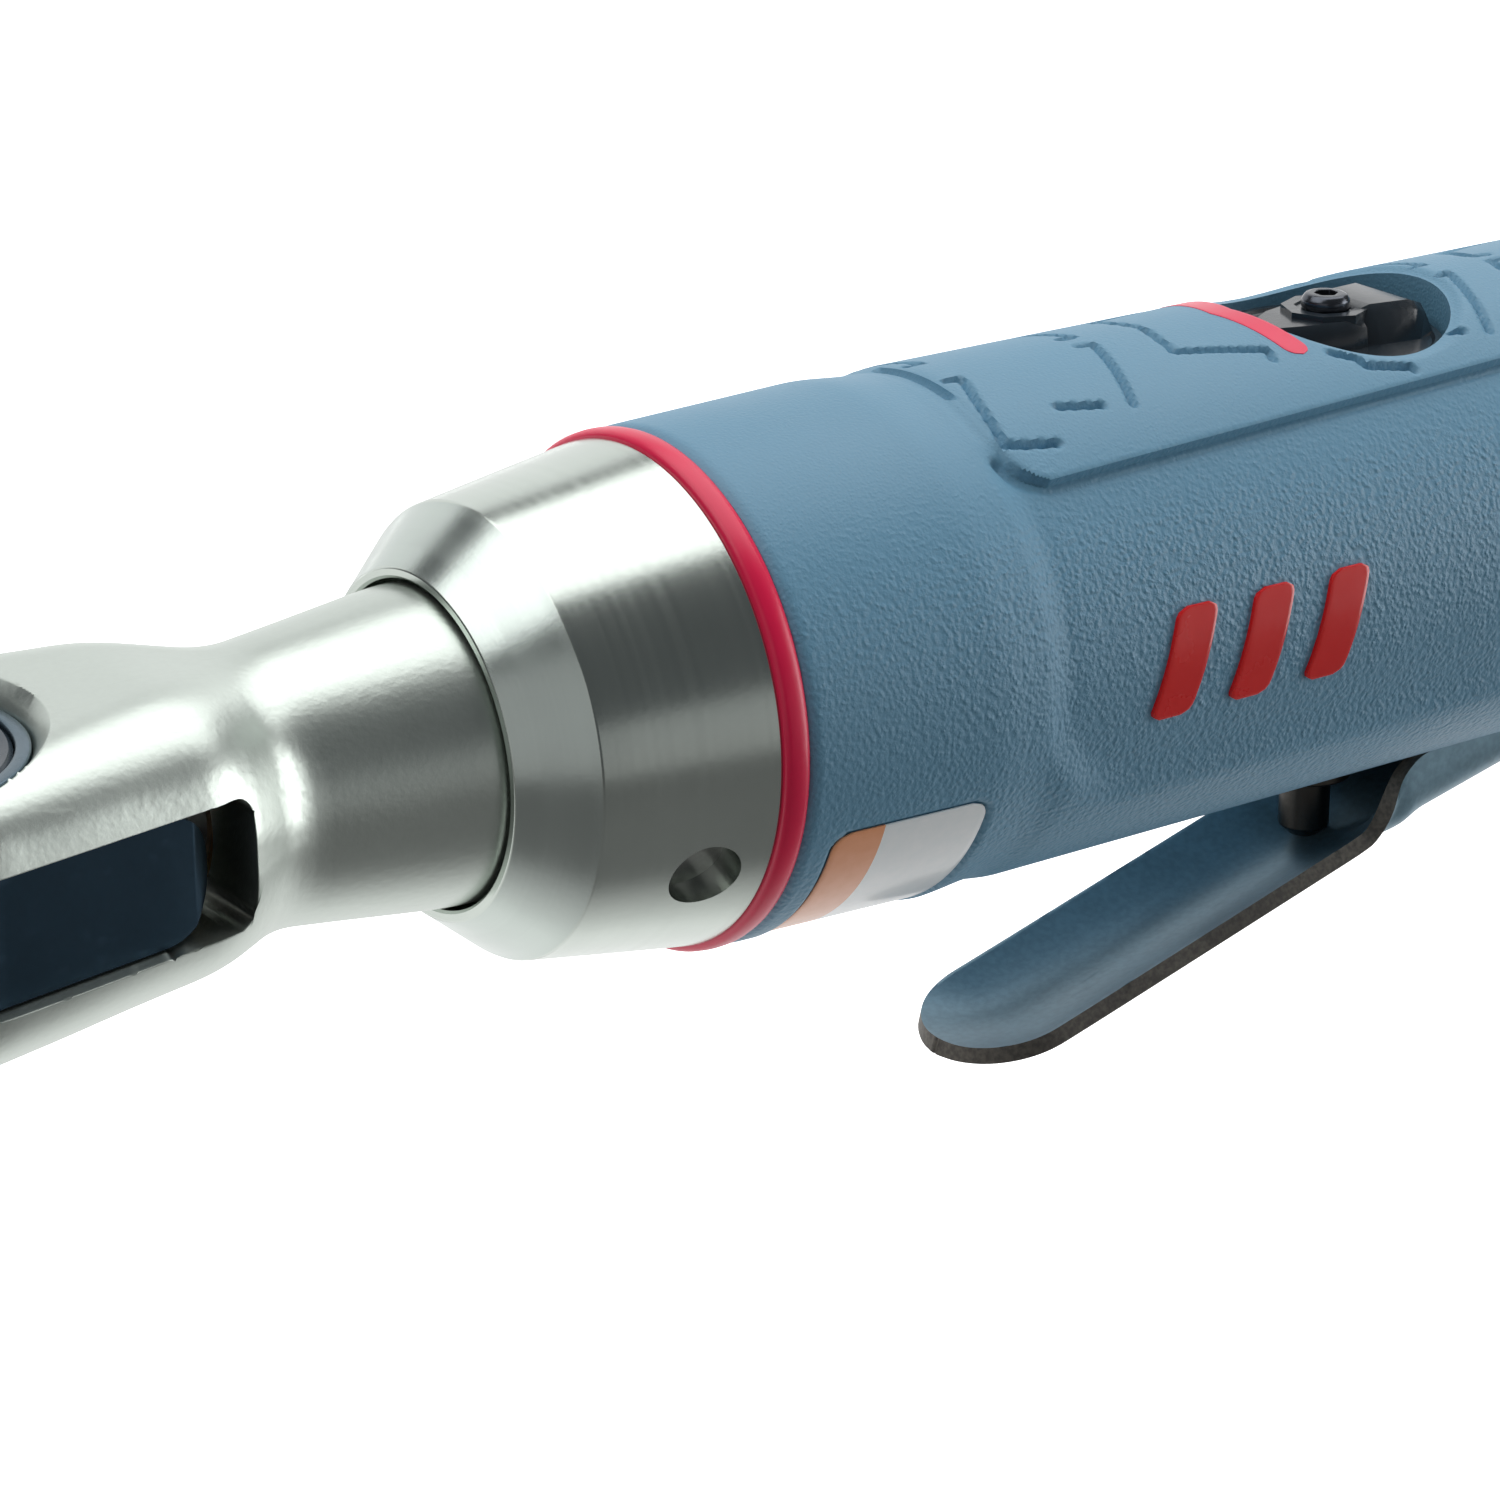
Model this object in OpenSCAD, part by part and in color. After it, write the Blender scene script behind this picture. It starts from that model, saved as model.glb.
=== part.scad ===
// Straight air ratchet wrench with a 3/8 inch drive.
// X runs from the drive axis to the air inlet, Z is up, and Z = 0 is the shoulder of the drive square.

/* [Head] */
// Height of the tool's axis above the drive square's shoulder
axis_z = 14; // [13.5:0.1:14.5]
// Radius of the rounded end of the head
head_r = 19.3; // [19:0.1:19.6]
// Top of the upper arm above the tool's axis
arm_top = 11.5; // [11.3:0.1:11.7]
// Underside of the lower arm below the tool's axis
arm_bottom = 12.1; // [11.9:0.1:12.3]
// Height of the fork's slot
slot_h = 11.3; // [11.2:0.1:11.5]
// Distance from the drive axis to the slot's rear wall
slot_end = 29; // [28.8:0.1:29.2]
// Radius of the round opening in the upper arm
opening_r = 15.7; // [15.6:0.1:15.8]
// Side of the drive square
square_w = 9.525; // [9.4:0.025:9.6]
// Length of the drive square
square_len = 11; // [10:0.5:12]

/* [Ratchet] */
// Number of teeth inside the yoke
yoke_teeth = 36; // [36]
// Outer radius of the yoke's ring
yoke_r = 18.3; // [18:0.1:18.4]
// Throw of the crank pin
crank_throw = 2; // [1.9:0.05:2]
// Radius of the anvil's ring inside the yoke
anvil_r = 12; // [11.9:0.05:12.1]
// Radius of the anvil's journals
journal_r = 9.3; // [9.2:0.05:9.35]

/* [Coupling nut] */
// Front face of the coupling nut
nut_x = 52.7; // [52.5:0.1:52.9]
// Boundary between the coupling nut and the red ring
ring_x = 74.4; // [74.4:0.1:74.6]
// Radius of the nut's lip
lip_r = 15.3; // [15.2:0.1:15.5]
// Largest radius of the nut
nut_r = 22.5; // [22.3:0.1:22.7]

/* [Grip] */
// Front face of the grip
grip_x = 77; // [77:0.1:77.2]
// Rear face of the grip
grip_end = 212; // [211.5:0.5:213]
// Radius of the grip
grip_r = 23.6; // [23.5:0.1:23.8]
// Depth of the side panels
panel_depth = 1.1; // [0.8:0.1:1.3]
// Rear face of the inlet bushing
inlet_end = 241.6; // [241:0.2:243]

/* [Reduction gear] */
// Gear module
gear_m = 0.8; // [0.8]
// Teeth on the rotor's pinion
sun_teeth = 12; // [12]
// Teeth on each planet gear
planet_teeth = 12; // [12]
// Clearance on each tooth flank
flank_gap = 0.08; // [0.06:0.01:0.1]

/* [Motor] */
// Outer radius of the motor's cylinder and end plates
motor_r = 17.2; // [17.1:0.05:17.2]
// Radius of the cylinder's bore
bore_r = 14.6; // [14.5:0.05:14.6]
// Offset of the bore from the rotor's axis
bore_offset = 1.2; // [1.1:0.05:1.2]
// Radius of the rotor
rotor_r = 13.1; // [12.9:0.05:13.1]
// Number of vanes
vane_count = 5; // [4:1:6]

/* [Valve and lever] */
// Station of the throttle plunger and the regulator
valve_x = 153.7; // [153.5:0.1:154]
// Station of the lever's pivot
pivot_x = 199; // [198.5:0.5:199.5]
// Depth of the lever's pivot below the tool's axis
pivot_drop = 17; // [16.8:0.1:17.2]
// Width of the throttle lever
lever_w = 16; // [15.5:0.1:16.2]
// Thickness of the lever's sheet
lever_t = 1.6; // [1.4:0.1:1.7]
// Radius of the regulator's pocket
pocket_r = 11.95; // [11.9:0.05:12]

/* [Hidden] */
$fn = 64;
eps = 0.01;
run_gap = 0.06;
axle_gap = 0.05;

// Head and ratchet
head_chamfer = 3.6;
slot_half = slot_h / 2;
neck_x = 35.4;
neck_r = 12.1;
flange_x = 58.4;
flange_r = 17.2;
flange_end = 64.4;
carrier_pocket_x = 59.9;
carrier_pocket_r = 13.2;
shaft_r = 5.5;
bush_r = 7.5;
journal_bore_r = journal_r + run_gap;
washer_t = 0.4;
anvil_half = slot_half - washer_t - 0.1;
yoke_half = slot_half - 0.25;
yoke_tip_r = 12.6;
yoke_root_r = 13.6;
yoke_tail_x = 25.8;
yoke_slot_w = 16;
crank_pin_r = 1.9;
crank_bushing_r = 3.2;
cover_low = 5.75;
cover_floor = 8.6;
cover_high = 10.9;
cover_r = opening_r - 0.1;
dial_r = 14.2;
snap_low = 6.8;
snap_high = 7.6;
snap_out_r = 16.3;
snap_in_r = 14.8;
stem_r = 3.4;
pawl_r = 11.8;
pawl_x = -7.6;
pawl_pin_r = 1.2;
pawl_half = 3.8;
ball_r = 1.5;
ball_z = -6.2;

// Coupling nut, collar and reduction gear
nut_chamfer_x = 58.33;
nut_chamfer_r = 19.9;
nut_bore_r = 14.5;
collar_x = 66;
collar_end = 84;
collar_r = 19.2;
spanner_x = 68.5;
spanner_r = 3.25;
spanner_turn = 25;
sun_pitch_r = gear_m * sun_teeth / 2;
planet_pitch_r = gear_m * planet_teeth / 2;
planet_arm = sun_pitch_r + planet_pitch_r;
ring_teeth = sun_teeth + 2 * planet_teeth;
planet_count = 3;
planet_x = 64.5;
planet_len = 8;
planet_pin_r = 1.6;
gear_washer_x = 74.4;
pressure = 20;

// Motor
front_plate_x = 75.4;
cylinder_x = 82.4;
rear_plate_x = 122.8;
motor_end = 129.8;
rotor_x = 82.6;
rotor_end = 122.6;
front_bearing_x = 77.4;
rear_bearing_x = 124.8;
bearing_w = 5;
front_bearing = [6, 7.6, 9, 10.5, 1.05, 10];
rear_bearing = [3, 4.4, 6.1, 7.5, 1.2, 7];
dowel_r = 1.2;
dowel_drop = 15.4;
exhaust_y = 14;
exhaust_r = 1.6;

// Valve, regulator and lever, with heights measured from the tool's axis
seat_low = -5.5;
seat_high = -3.5;
sleeve_r = 7;
sleeve_bore_r = 5.2;
sleeve_roof = 9;
pocket_floor = 17.5;
knob_low = 17.7;
knob_base_high = 19.3;
knob_high = 23;
chamber_low = -11.5;
chamber_r = 6;
bushing_r = 4.5;
bushing_low = -25.1;
plunger_r = 2.5;
plunger_low = -31.45;
lever_pocket_top = -13.6;
lever_pin_r = 2;
passage_r = 5.6;
inlet_thread_r = 8.4;
inlet_bore_r = 5.7;
inlet_bore_len = 12;
inlet_seal_x = 224.6;
lever_tip_x = 107.9;
rim_slope = 0.305;

// ---- helpers ----

// Places children so that their own Z axis lies along the tool's axis
module along_tool(x) translate([x, 0, axis_z]) rotate([0, 90, 0]) children();

// Places children on the vertical line at station x, with z measured from the tool's axis
module upright(x) translate([x, 0, axis_z]) children();

// Solid turned about the tool's axis from points of [radius, x]
module turned(points) along_tool(0) rotate_extrude() polygon(points);

// Bar about the tool's axis
module bar_x(x0, x1, r) along_tool(x0) cylinder(h = x1 - x0, r = r);

// Tube about the tool's axis
module tube_x(x0, x1, r_out, r_in) difference() {
    bar_x(x0, x1, r_out);
    bar_x(x0 - 1, x1 + 1, r_in);
}

// Upright tube between two heights
module tube_z(z0, z1, r_out, r_in) difference() {
    translate([0, 0, z0]) cylinder(h = z1 - z0, r = r_out);
    translate([0, 0, z0 - 1]) cylinder(h = z1 - z0 + 2, r = r_in);
}

// Round seal about the local Z axis
module seal(r, wire_r) rotate_extrude() translate([r, 0]) circle(r = wire_r, $fn = 24);

function involute_turn(pitch_r, r) =
    let (base_r = pitch_r * cos(pressure), t = sqrt(max(0, pow(r / base_r, 2) - 1)))
    t * 180 / PI - atan(t);

// Half the angle that a tooth takes at radius r
function tooth_half(teeth, gap, r) =
    let (pitch_r = gear_m * teeth / 2)
    90 / teeth - gap / pitch_r * 180 / PI + involute_turn(pitch_r, pitch_r) - involute_turn(pitch_r, r);

// Outline of an involute gear, with its addendum and dedendum in modules
module gear_outline(teeth, addendum, dedendum, gap) {
    pitch_r = gear_m * teeth / 2;
    root_r = pitch_r - dedendum * gear_m;
    tip_r = pitch_r + addendum * gear_m;
    radii = [root_r, pitch_r * cos(pressure), pitch_r, tip_r];
    rising = [for (r = radii) if (r >= root_r) r];
    falling = [for (i = [len(rising) - 1 : -1 : 0]) rising[i]];
    polygon([for (k = [0 : teeth - 1], side = [-1, 1], r = side < 0 ? rising : falling)
        let (a = 360 * k / teeth + side * tooth_half(teeth, gap, r)) r * [cos(a), sin(a)]]);
}

// Ball bearing's rings: b holds bore, inner land, outer land, outside, ball radius and ball count
function ball_circle(b) = (b[1] + b[2]) / 2;
module bearing_ring(x, b, r_out, r_in) difference() {
    tube_x(x, x + bearing_w, r_out, r_in);
    along_tool(x + bearing_w / 2) seal(ball_circle(b), b[4] + axle_gap);
}
module bearing_balls(x, b) for (k = [0 : b[5] - 1])
    along_tool(x + bearing_w / 2) rotate(360 * k / b[5]) translate([ball_circle(b), 0, 0])
        sphere(r = b[4], $fn = 32);

// Coil spring along the local Z axis, swept from rings of six points
module coil(r, wire_r, length, turns) {
    sides = 6;
    steps = 16 * turns;
    rings = [for (i = [0 : steps]) let (a = 360 * turns * i / steps)
        [for (k = [0 : sides - 1]) let (b = 360 * k / sides)
            [(r + wire_r * cos(b)) * cos(a), (r + wire_r * cos(b)) * sin(a),
             wire_r + (length - 2 * wire_r) * i / steps + wire_r * sin(b)]]];
    points = [for (ring = rings) for (p = ring) p];
    walls = [for (i = [0 : steps - 1], k = [0 : sides - 1]) let (n = (k + 1) % sides)
        [i * sides + k, (i + 1) * sides + k, (i + 1) * sides + n, i * sides + n]];
    polyhedron(points, concat(walls,
        [[for (k = [0 : sides - 1]) k], [for (k = [sides - 1 : -1 : 0]) steps * sides + k]]));
}

// Part of a tube about the tool's axis between two angles, turned from -Y towards +Z
module tube_sector(x0, x1, r_out, r_in, a0, a1) intersection() {
    tube_x(x0, x1, r_out, r_in);
    translate([x0 - 1, 0, axis_z]) rotate([90, 0, 90]) linear_extrude(x1 - x0 + 2)
        polygon(concat([[0, 0]], [for (k = [0 : 8])
            let (a = 180 - (a0 + (a1 - a0) * k / 8)) 40 * [cos(a), sin(a)]]));
}

// ---- ratchet head ----

module head_plan() polygon([[0, -17], [6.4, -18], [27.4, -15], [33, -12.4], [33, 12.4], [27.4, 15], [6.4, 18], [0, 17]]);

// Chamfered cross-section with the given half-width
module head_section(half) {
    low = half - head_chamfer;
    polygon([[-half, head_chamfer - arm_bottom], [-low, -arm_bottom], [low, -arm_bottom],
        [half, head_chamfer - arm_bottom], [half, arm_top - head_chamfer], [low, arm_top],
        [-low, arm_top], [-half, arm_top - head_chamfer]]);
}

module head_end() upright(0) rotate_extrude() intersection() {
    head_section(head_r);
    translate([0, -20]) square([30, 40]);
}

module head_slot() {
    corner = 1.8;
    translate([-30, -30, axis_z - slot_half]) cube([30 + slot_end - corner, 60, slot_h]);
    translate([-30, -30, axis_z - slot_half + corner]) cube([30 + slot_end, 60, slot_h - 2 * corner]);
    for (side = [-1, 1])
        translate([slot_end - corner, 30, axis_z + side * (slot_half - corner)])
            rotate([90, 0, 0]) cylinder(h = 60, r = corner);
}

module ratchet_head() color("lightgray") difference() {
    union() {
        head_end();
        intersection() {
            linear_extrude(axis_z + 20) head_plan();
            translate([0, 0, axis_z]) rotate([90, 0, 90]) linear_extrude(33) head_section(head_r - 1);
        }
        turned([[0, 27], [13.4, 27], [neck_r, neck_x], [13.7, 50.4], [13.9, nut_x], [13.9, flange_x],
            [flange_r, flange_x], [flange_r, flange_end], [0, flange_end]]);
    }
    head_slot();
    upright(0) translate([0, 0, slot_half - 1]) cylinder(h = 12, r = opening_r);
    upright(0) translate([0, 0, -20]) cylinder(h = 20, r = journal_bore_r);
    upright(0) translate([0, 0, snap_low]) cylinder(h = snap_high - snap_low, r = snap_out_r);
    bar_x(slot_end - 2, carrier_pocket_x + 1, bush_r);
    bar_x(carrier_pocket_x, flange_end + 1, carrier_pocket_r);
}

module neck_bush() color("peru") tube_x(30, 58, bush_r, shaft_r + axle_gap);

module thrust_washer(z) upright(0) tube_z(z, z + washer_t, 11.9, journal_r + 0.2);
module lower_thrust_washer() color("gold") thrust_washer(-slot_half);
module upper_thrust_washer() color("gold") thrust_washer(cover_low - washer_t);

module cover_plate() color("darkslategray") upright(0) difference() {
    tube_z(cover_low, cover_high, cover_r, journal_bore_r);
    translate([0, 0, cover_floor]) cylinder(h = 10, r = dial_r + 0.1);
    tube_z(snap_low, snap_high, cover_r + 1, snap_in_r);
}

module retaining_ring() color("dimgray") upright(0) tube_z(snap_low, snap_high, snap_out_r, snap_in_r);

// ---- anvil, pawl and reverse knob ----

module pawl_shape(grow) polygon([
    [-13, -7 - grow], [-9.5 + 0.8 * grow, -7 - grow], [-5.4 + grow, -2.4 - grow / 2],
    [-5.4 + grow, 2.4 + grow / 2], [-9.5 + 0.8 * grow, 7 + grow], [-13, 7 + grow]]);

module anvil() color("gray") {
    difference() {
        union() {
            cylinder(h = axis_z, r = journal_r);
            upright(0) translate([0, 0, -anvil_half]) cylinder(h = 2 * anvil_half, r = anvil_r);
            upright(0) cylinder(h = cover_floor - 0.2, r = journal_r);
        }
        upright(0) translate([0, 0, -pawl_half - 0.2]) linear_extrude(2 * pawl_half + 0.4) pawl_shape(0.95);
        upright(0) translate([0, 0, -pawl_half]) cylinder(h = 20, r = stem_r + run_gap);
        upright(0) translate([0, 0, -2.2]) cylinder(h = 4.4, r = 5.2);
        upright(0) translate([pawl_x, 0, -anvil_half + 0.2]) cylinder(h = 2 * anvil_half - 0.4, r = pawl_pin_r);
    }
    difference() {
        intersection() {
            translate([-square_w / 2, -square_w / 2, -square_len]) cube([square_w, square_w, square_len]);
            translate([0, 0, -square_len]) cylinder(h = square_len, r1 = 5.6, r2 = 5.6 + square_len);
        }
        translate([square_w / 2 - 5, 0, ball_z]) rotate([0, 90, 0]) cylinder(h = 6, r = ball_r + run_gap);
    }
}

module socket_ball() color("silver") translate([square_w / 2 - ball_r + 0.55, 0, ball_z]) sphere(r = ball_r);
module socket_ball_spring() color("silver")
    translate([square_w / 2 - 4.9, 0, ball_z]) rotate([0, 90, 0]) coil(1, 0.2, 2.2, 3);

module pawl() color("gray") upright(0) difference() {
    translate([0, 0, -pawl_half]) linear_extrude(2 * pawl_half) intersection() {
        circle(r = pawl_r);
        pawl_shape(0);
    }
    translate([pawl_x, 0, -pawl_half - 1]) cylinder(h = 2 * pawl_half + 2, r = pawl_pin_r + axle_gap);
}
module pawl_pin() color("silver") upright(0)
    translate([pawl_x, 0, -anvil_half + 0.2]) cylinder(h = 2 * anvil_half - 0.4, r = pawl_pin_r);

module reverse_knob() color("darkslategray") upright(0) difference() {
    union() {
        translate([0, 0, -3.4]) cylinder(h = cover_floor + 4, r = stem_r);
        translate([0, 0, cover_floor + 0.1]) cylinder(h = 2, r = dial_r);
    }
    translate([0, 0, cover_floor + 41.2]) sphere(r = 40);
    translate([-1.2, 0, 0]) rotate([0, -90, 0]) cylinder(h = 5, r = 1.35);
}
module pawl_plunger() color("silver") upright(0) translate([-2.7, 0, 0]) rotate([0, -90, 0]) {
    cylinder(h = 1.3, r = 1.3);
    translate([0, 0, 1.3]) cylinder(h = 0.7, r1 = 1.3, r2 = 0.6);
}
module pawl_spring() color("silver") upright(0) translate([-1.2, 0, 0]) rotate([0, -90, 0]) coil(0.9, 0.15, 1.5, 3);

// ---- yoke and crank ----

module ratchet_yoke() color("#27303a") upright(0) translate([0, 0, -yoke_half]) linear_extrude(2 * yoke_half)
    difference() {
        union() {
            circle(r = yoke_r);
            polygon([[0, -yoke_r], [6, -17.4], [yoke_tail_x - 2, -14], [yoke_tail_x, -12.4],
                [yoke_tail_x, 12.4], [yoke_tail_x - 2, 14], [6, 17.4], [0, yoke_r]]);
        }
        polygon([for (i = [0 : 2 * yoke_teeth - 1])
            (i % 2 == 0 ? yoke_tip_r : yoke_root_r) * [cos(180 * i / yoke_teeth), sin(180 * i / yoke_teeth)]]);
        difference() {
            translate([14, -yoke_slot_w / 2]) square([yoke_tail_x - 13, yoke_slot_w]);
            circle(r = yoke_r);
        }
    }

module crankshaft() color("silver") {
    bar_x(slot_end + 0.6, 61, shaft_r);
    difference() {
        bar_x(60.9, 64, 12.8);
        for (k = [0 : planet_count - 1])
            along_tool(60) rotate(360 * k / planet_count) translate([planet_arm, 0, 0]) cylinder(h = 6, r = planet_pin_r);
    }
    translate([0, 0, crank_throw]) bar_x(yoke_r + 0.6, slot_end + 1, crank_pin_r);
}
module crank_bushing() color("peru") translate([0, 0, crank_throw])
    tube_x(yoke_r + 1, slot_end - 2.6, crank_bushing_r, crank_pin_r + axle_gap);

module planet_pins() color("silver") for (k = [0 : planet_count - 1])
    along_tool(61) rotate(360 * k / planet_count) translate([planet_arm, 0, 0]) cylinder(h = 12.4, r = planet_pin_r);

module planet_at(k) along_tool(planet_x) rotate(360 * k / planet_count) translate([planet_arm, 0, 0]) children();
module planet_gear(k) color("slategray") planet_at(k) linear_extrude(planet_len) difference() {
    rotate(180 / planet_teeth) gear_outline(planet_teeth, 0.7, 0.95, flank_gap);
    circle(r = planet_pin_r + axle_gap);
}

module ring_gear() color("slategray") along_tool(flange_end) linear_extrude(front_plate_x - flange_end)
    difference() {
        circle(r = flange_r);
        rotate(180 / ring_teeth) gear_outline(ring_teeth, 0.95, 0.5, -flank_gap);
    }
module carrier_washer() color("gold") tube_x(carrier_pocket_x, carrier_pocket_x + 0.8, 12.8, bush_r);
module gear_washer() color("gold") tube_x(gear_washer_x, front_plate_x, 13.9, 6.6);

// ---- coupling nut, red ring and collar ----

module coupling_nut() color("lightgray") difference() {
    turned([[0, nut_x], [lip_r, nut_x], [nut_chamfer_r, nut_chamfer_x], [nut_r, ring_x], [0, ring_x]]);
    bar_x(nut_x - 1, flange_x + 1, nut_bore_r);
    bar_x(flange_x, collar_x + 1, flange_r + 0.2);
    bar_x(collar_x - 0.4, ring_x + 1, collar_r);
    for (turn = [0, 180])
        translate([spanner_x, 0, axis_z]) rotate([90 + spanner_turn + turn, 0, 0])
            translate([0, 0, collar_r - 2]) cylinder(h = 12, r = spanner_r);
}
module red_ring() color("crimson") difference() {
    turned([[0, ring_x], [nut_r, ring_x], [nut_r + 0.6, ring_x + 0.4], [nut_r + 0.6, grip_x - 0.3],
        [nut_r + 0.5, grip_x], [0, grip_x]]);
    bar_x(ring_x - 1, grip_x + 1, collar_r);
}
module threaded_collar() color("silver") tube_x(collar_x, collar_end, collar_r, flange_r);

// ---- motor ----

module front_end_plate() color("darkgray") difference() {
    bar_x(front_plate_x, cylinder_x, motor_r);
    bar_x(front_plate_x - 1, cylinder_x + 1, front_bearing[0] + 0.3);
    bar_x(front_bearing_x, cylinder_x + 1, front_bearing[3]);
    dowel_hole();
}
module dowel_hole() translate([0, 0, -dowel_drop]) bar_x(79.4, 126.8, dowel_r);
module motor_dowel() color("silver") dowel_hole();

module motor_cylinder() color("darkgray") difference() {
    bar_x(cylinder_x, rear_plate_x, motor_r);
    translate([0, 0, bore_offset]) bar_x(cylinder_x - 1, rear_plate_x + 1, bore_r);
    dowel_hole();
}
module rear_end_plate() color("darkgray") difference() {
    bar_x(rear_plate_x, motor_end, motor_r);
    bar_x(rear_plate_x - 1, motor_end + 1, rear_bearing[0] + 0.3);
    bar_x(rear_bearing_x, motor_end + 1, rear_bearing[3]);
    dowel_hole();
    for (side = [-1, 1]) translate([0, side * exhaust_y, 0]) bar_x(rear_plate_x - 1, motor_end + 1, exhaust_r);
    translate([0, 0, 9.4]) bar_x(rear_plate_x - 1, motor_end + 1, 1.3);
}

module vane_slot(width, inner, outer, x0, x1) for (k = [0 : vane_count - 1])
    along_tool(x0) rotate(360 * k / vane_count) translate([inner, -width / 2, 0])
        cube([outer - inner, width, x1 - x0]);
module rotor() color("slategray") {
    difference() {
        bar_x(rotor_x, rotor_end, rotor_r);
        vane_slot(1.7, 7.2, rotor_r + 1, rotor_x - 1, rotor_end + 1);
    }
    bar_x(planet_x + 11, rotor_x + eps, front_bearing[0]);
    bar_x(rotor_end - eps, motor_end - 0.2, rear_bearing[0]);
    along_tool(planet_x) linear_extrude(11.1) gear_outline(sun_teeth, 0.7, 0.95, flank_gap);
}
module rotor_vanes() color("saddlebrown") vane_slot(1.6, 7.25, rotor_r + 0.1, rotor_x + 0.1, rotor_end - 0.1);

module front_bearing_outer() color("silver") bearing_ring(front_bearing_x, front_bearing, front_bearing[3], front_bearing[2]);
module front_bearing_inner() color("silver") bearing_ring(front_bearing_x, front_bearing, front_bearing[1], front_bearing[0]);
module front_bearing_balls() color("white") bearing_balls(front_bearing_x, front_bearing);
module rear_bearing_outer() color("silver") bearing_ring(rear_bearing_x, rear_bearing, rear_bearing[3], rear_bearing[2]);
module rear_bearing_inner() color("silver") bearing_ring(rear_bearing_x, rear_bearing, rear_bearing[1], rear_bearing[0]);
module rear_bearing_balls() color("white") bearing_balls(rear_bearing_x, rear_bearing);

// ---- grip ----

// Chevron seen from above, pointing to the head
module stripe_band(width) {
    sweep = 3.7;
    half = 10.4;
    translate([139, 0, axis_z + 10]) linear_extrude(20)
        polygon([[sweep, -half], [0, 0], [sweep, half], [width + sweep, half], [width, 0], [width + sweep, -half]]);
}

module side_bars_band() for (k = [0 : 2])
    translate([118 + 9 * k, 30, axis_z]) rotate([90, 0, 0]) linear_extrude(60)
        polygon([[-2.5, -5], [2.5, -5], [5.5, 6], [0.5, 6]]);

module side_panel(a0, a1) tube_sector(101.5, 204, grip_r + 2, grip_r - panel_depth, a0, a1);

module grip_housing() color("#586c7d") difference() {
    turned([[0, grip_x], [23.1, grip_x], [23.7, 96.4], [23.25, 103.4], [grip_r, 107], [grip_r, 204],
        [22.6, grip_end], [0, grip_end]]);
    bar_x(grip_x - 1, collar_end, collar_r);
    bar_x(collar_end - 1, motor_end, motor_r);
    bar_x(motor_end - 1, motor_end + 3, 11);
    translate([0, 0, -8.5]) bar_x(motor_end + 1, valve_x, 3.4);
    upright(valve_x) {
        translate([0, 0, chamber_low]) cylinder(h = seat_low - chamber_low + 1, r = chamber_r);
        translate([0, 0, seat_low]) cylinder(h = pocket_floor - seat_low + 1, r = sleeve_r);
        translate([0, 0, pocket_floor]) cylinder(h = 10, r = pocket_r);
        translate([0, 0, -30]) cylinder(h = 30 + chamber_low + 1, r = bushing_r);
    }
    bar_x(valve_x, 206.6, passage_r);
    bar_x(205.6, grip_end + 1, inlet_thread_r);
    for (side = [-1, 1]) {
        translate([0, side * exhaust_y, 0]) bar_x(motor_end - 1, grip_end + 1, 2.2);
        translate([155.2, side * 7 - 1.7, axis_z - 30]) cube([6, 3.4, 30 + lever_pocket_top]);
    }
    translate([160, -8.7, axis_z - 30]) cube([48, 17.4, 30 + lever_pocket_top]);
    translate([pivot_x, 30, axis_z - pivot_drop]) rotate([90, 0, 0]) cylinder(h = 60, r = lever_pin_r);
    side_panel(-30, 45);
    mirror([0, 1, 0]) side_panel(-30, 45);
    label_band(23.05, 30);
    intersection() {
        tube_x(130, 160, 30, 23.1);
        stripe_band(3.4);
    }
}
module label_band(r_in, r_out) tube_sector(81, 96, r_out, r_in, -19, -161);
module label() color("whitesmoke") label_band(23.05, 23.25);
module red_stripe() color("crimson") intersection() {
    tube_x(130, 160, grip_r + 0.05, 23.1);
    stripe_band(3.4);
}
module side_bars() color("crimson") intersection() {
    tube_x(100, 160, grip_r - panel_depth + 0.3, grip_r - panel_depth);
    side_bars_band();
}

// ---- valve and regulator ----

module valve_seat() color("peru") upright(valve_x) tube_z(seat_low, seat_high, sleeve_r, 3);
module valve_bushing() color("silver") upright(valve_x) difference() {
    tube_z(bushing_low, chamber_low, bushing_r, plunger_r + run_gap);
    tube_z(-19, -17.8, 3.7, 1);
}
module plunger_seal() color("black") upright(valve_x) translate([0, 0, -18.4]) seal(3.15, 0.5);
module throttle_plunger() color("silver") upright(valve_x) {
    translate([0, 0, plunger_low]) cylinder(h = 1, r1 = 1.4, r2 = plunger_r);
    translate([0, 0, plunger_low + 1]) cylinder(h = -12 - plunger_low - 1, r = plunger_r);
    translate([0, 0, -12]) cylinder(h = 12 + seat_high, r = 1.5);
    translate([0, 0, seat_high]) cylinder(h = 1.2, r = 4.6);
}
module valve_spring() color("silver") upright(valve_x)
    translate([0, 0, seat_high + 1.2]) coil(3.8, 0.35, sleeve_roof - seat_high - 1.2, 5);

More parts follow.
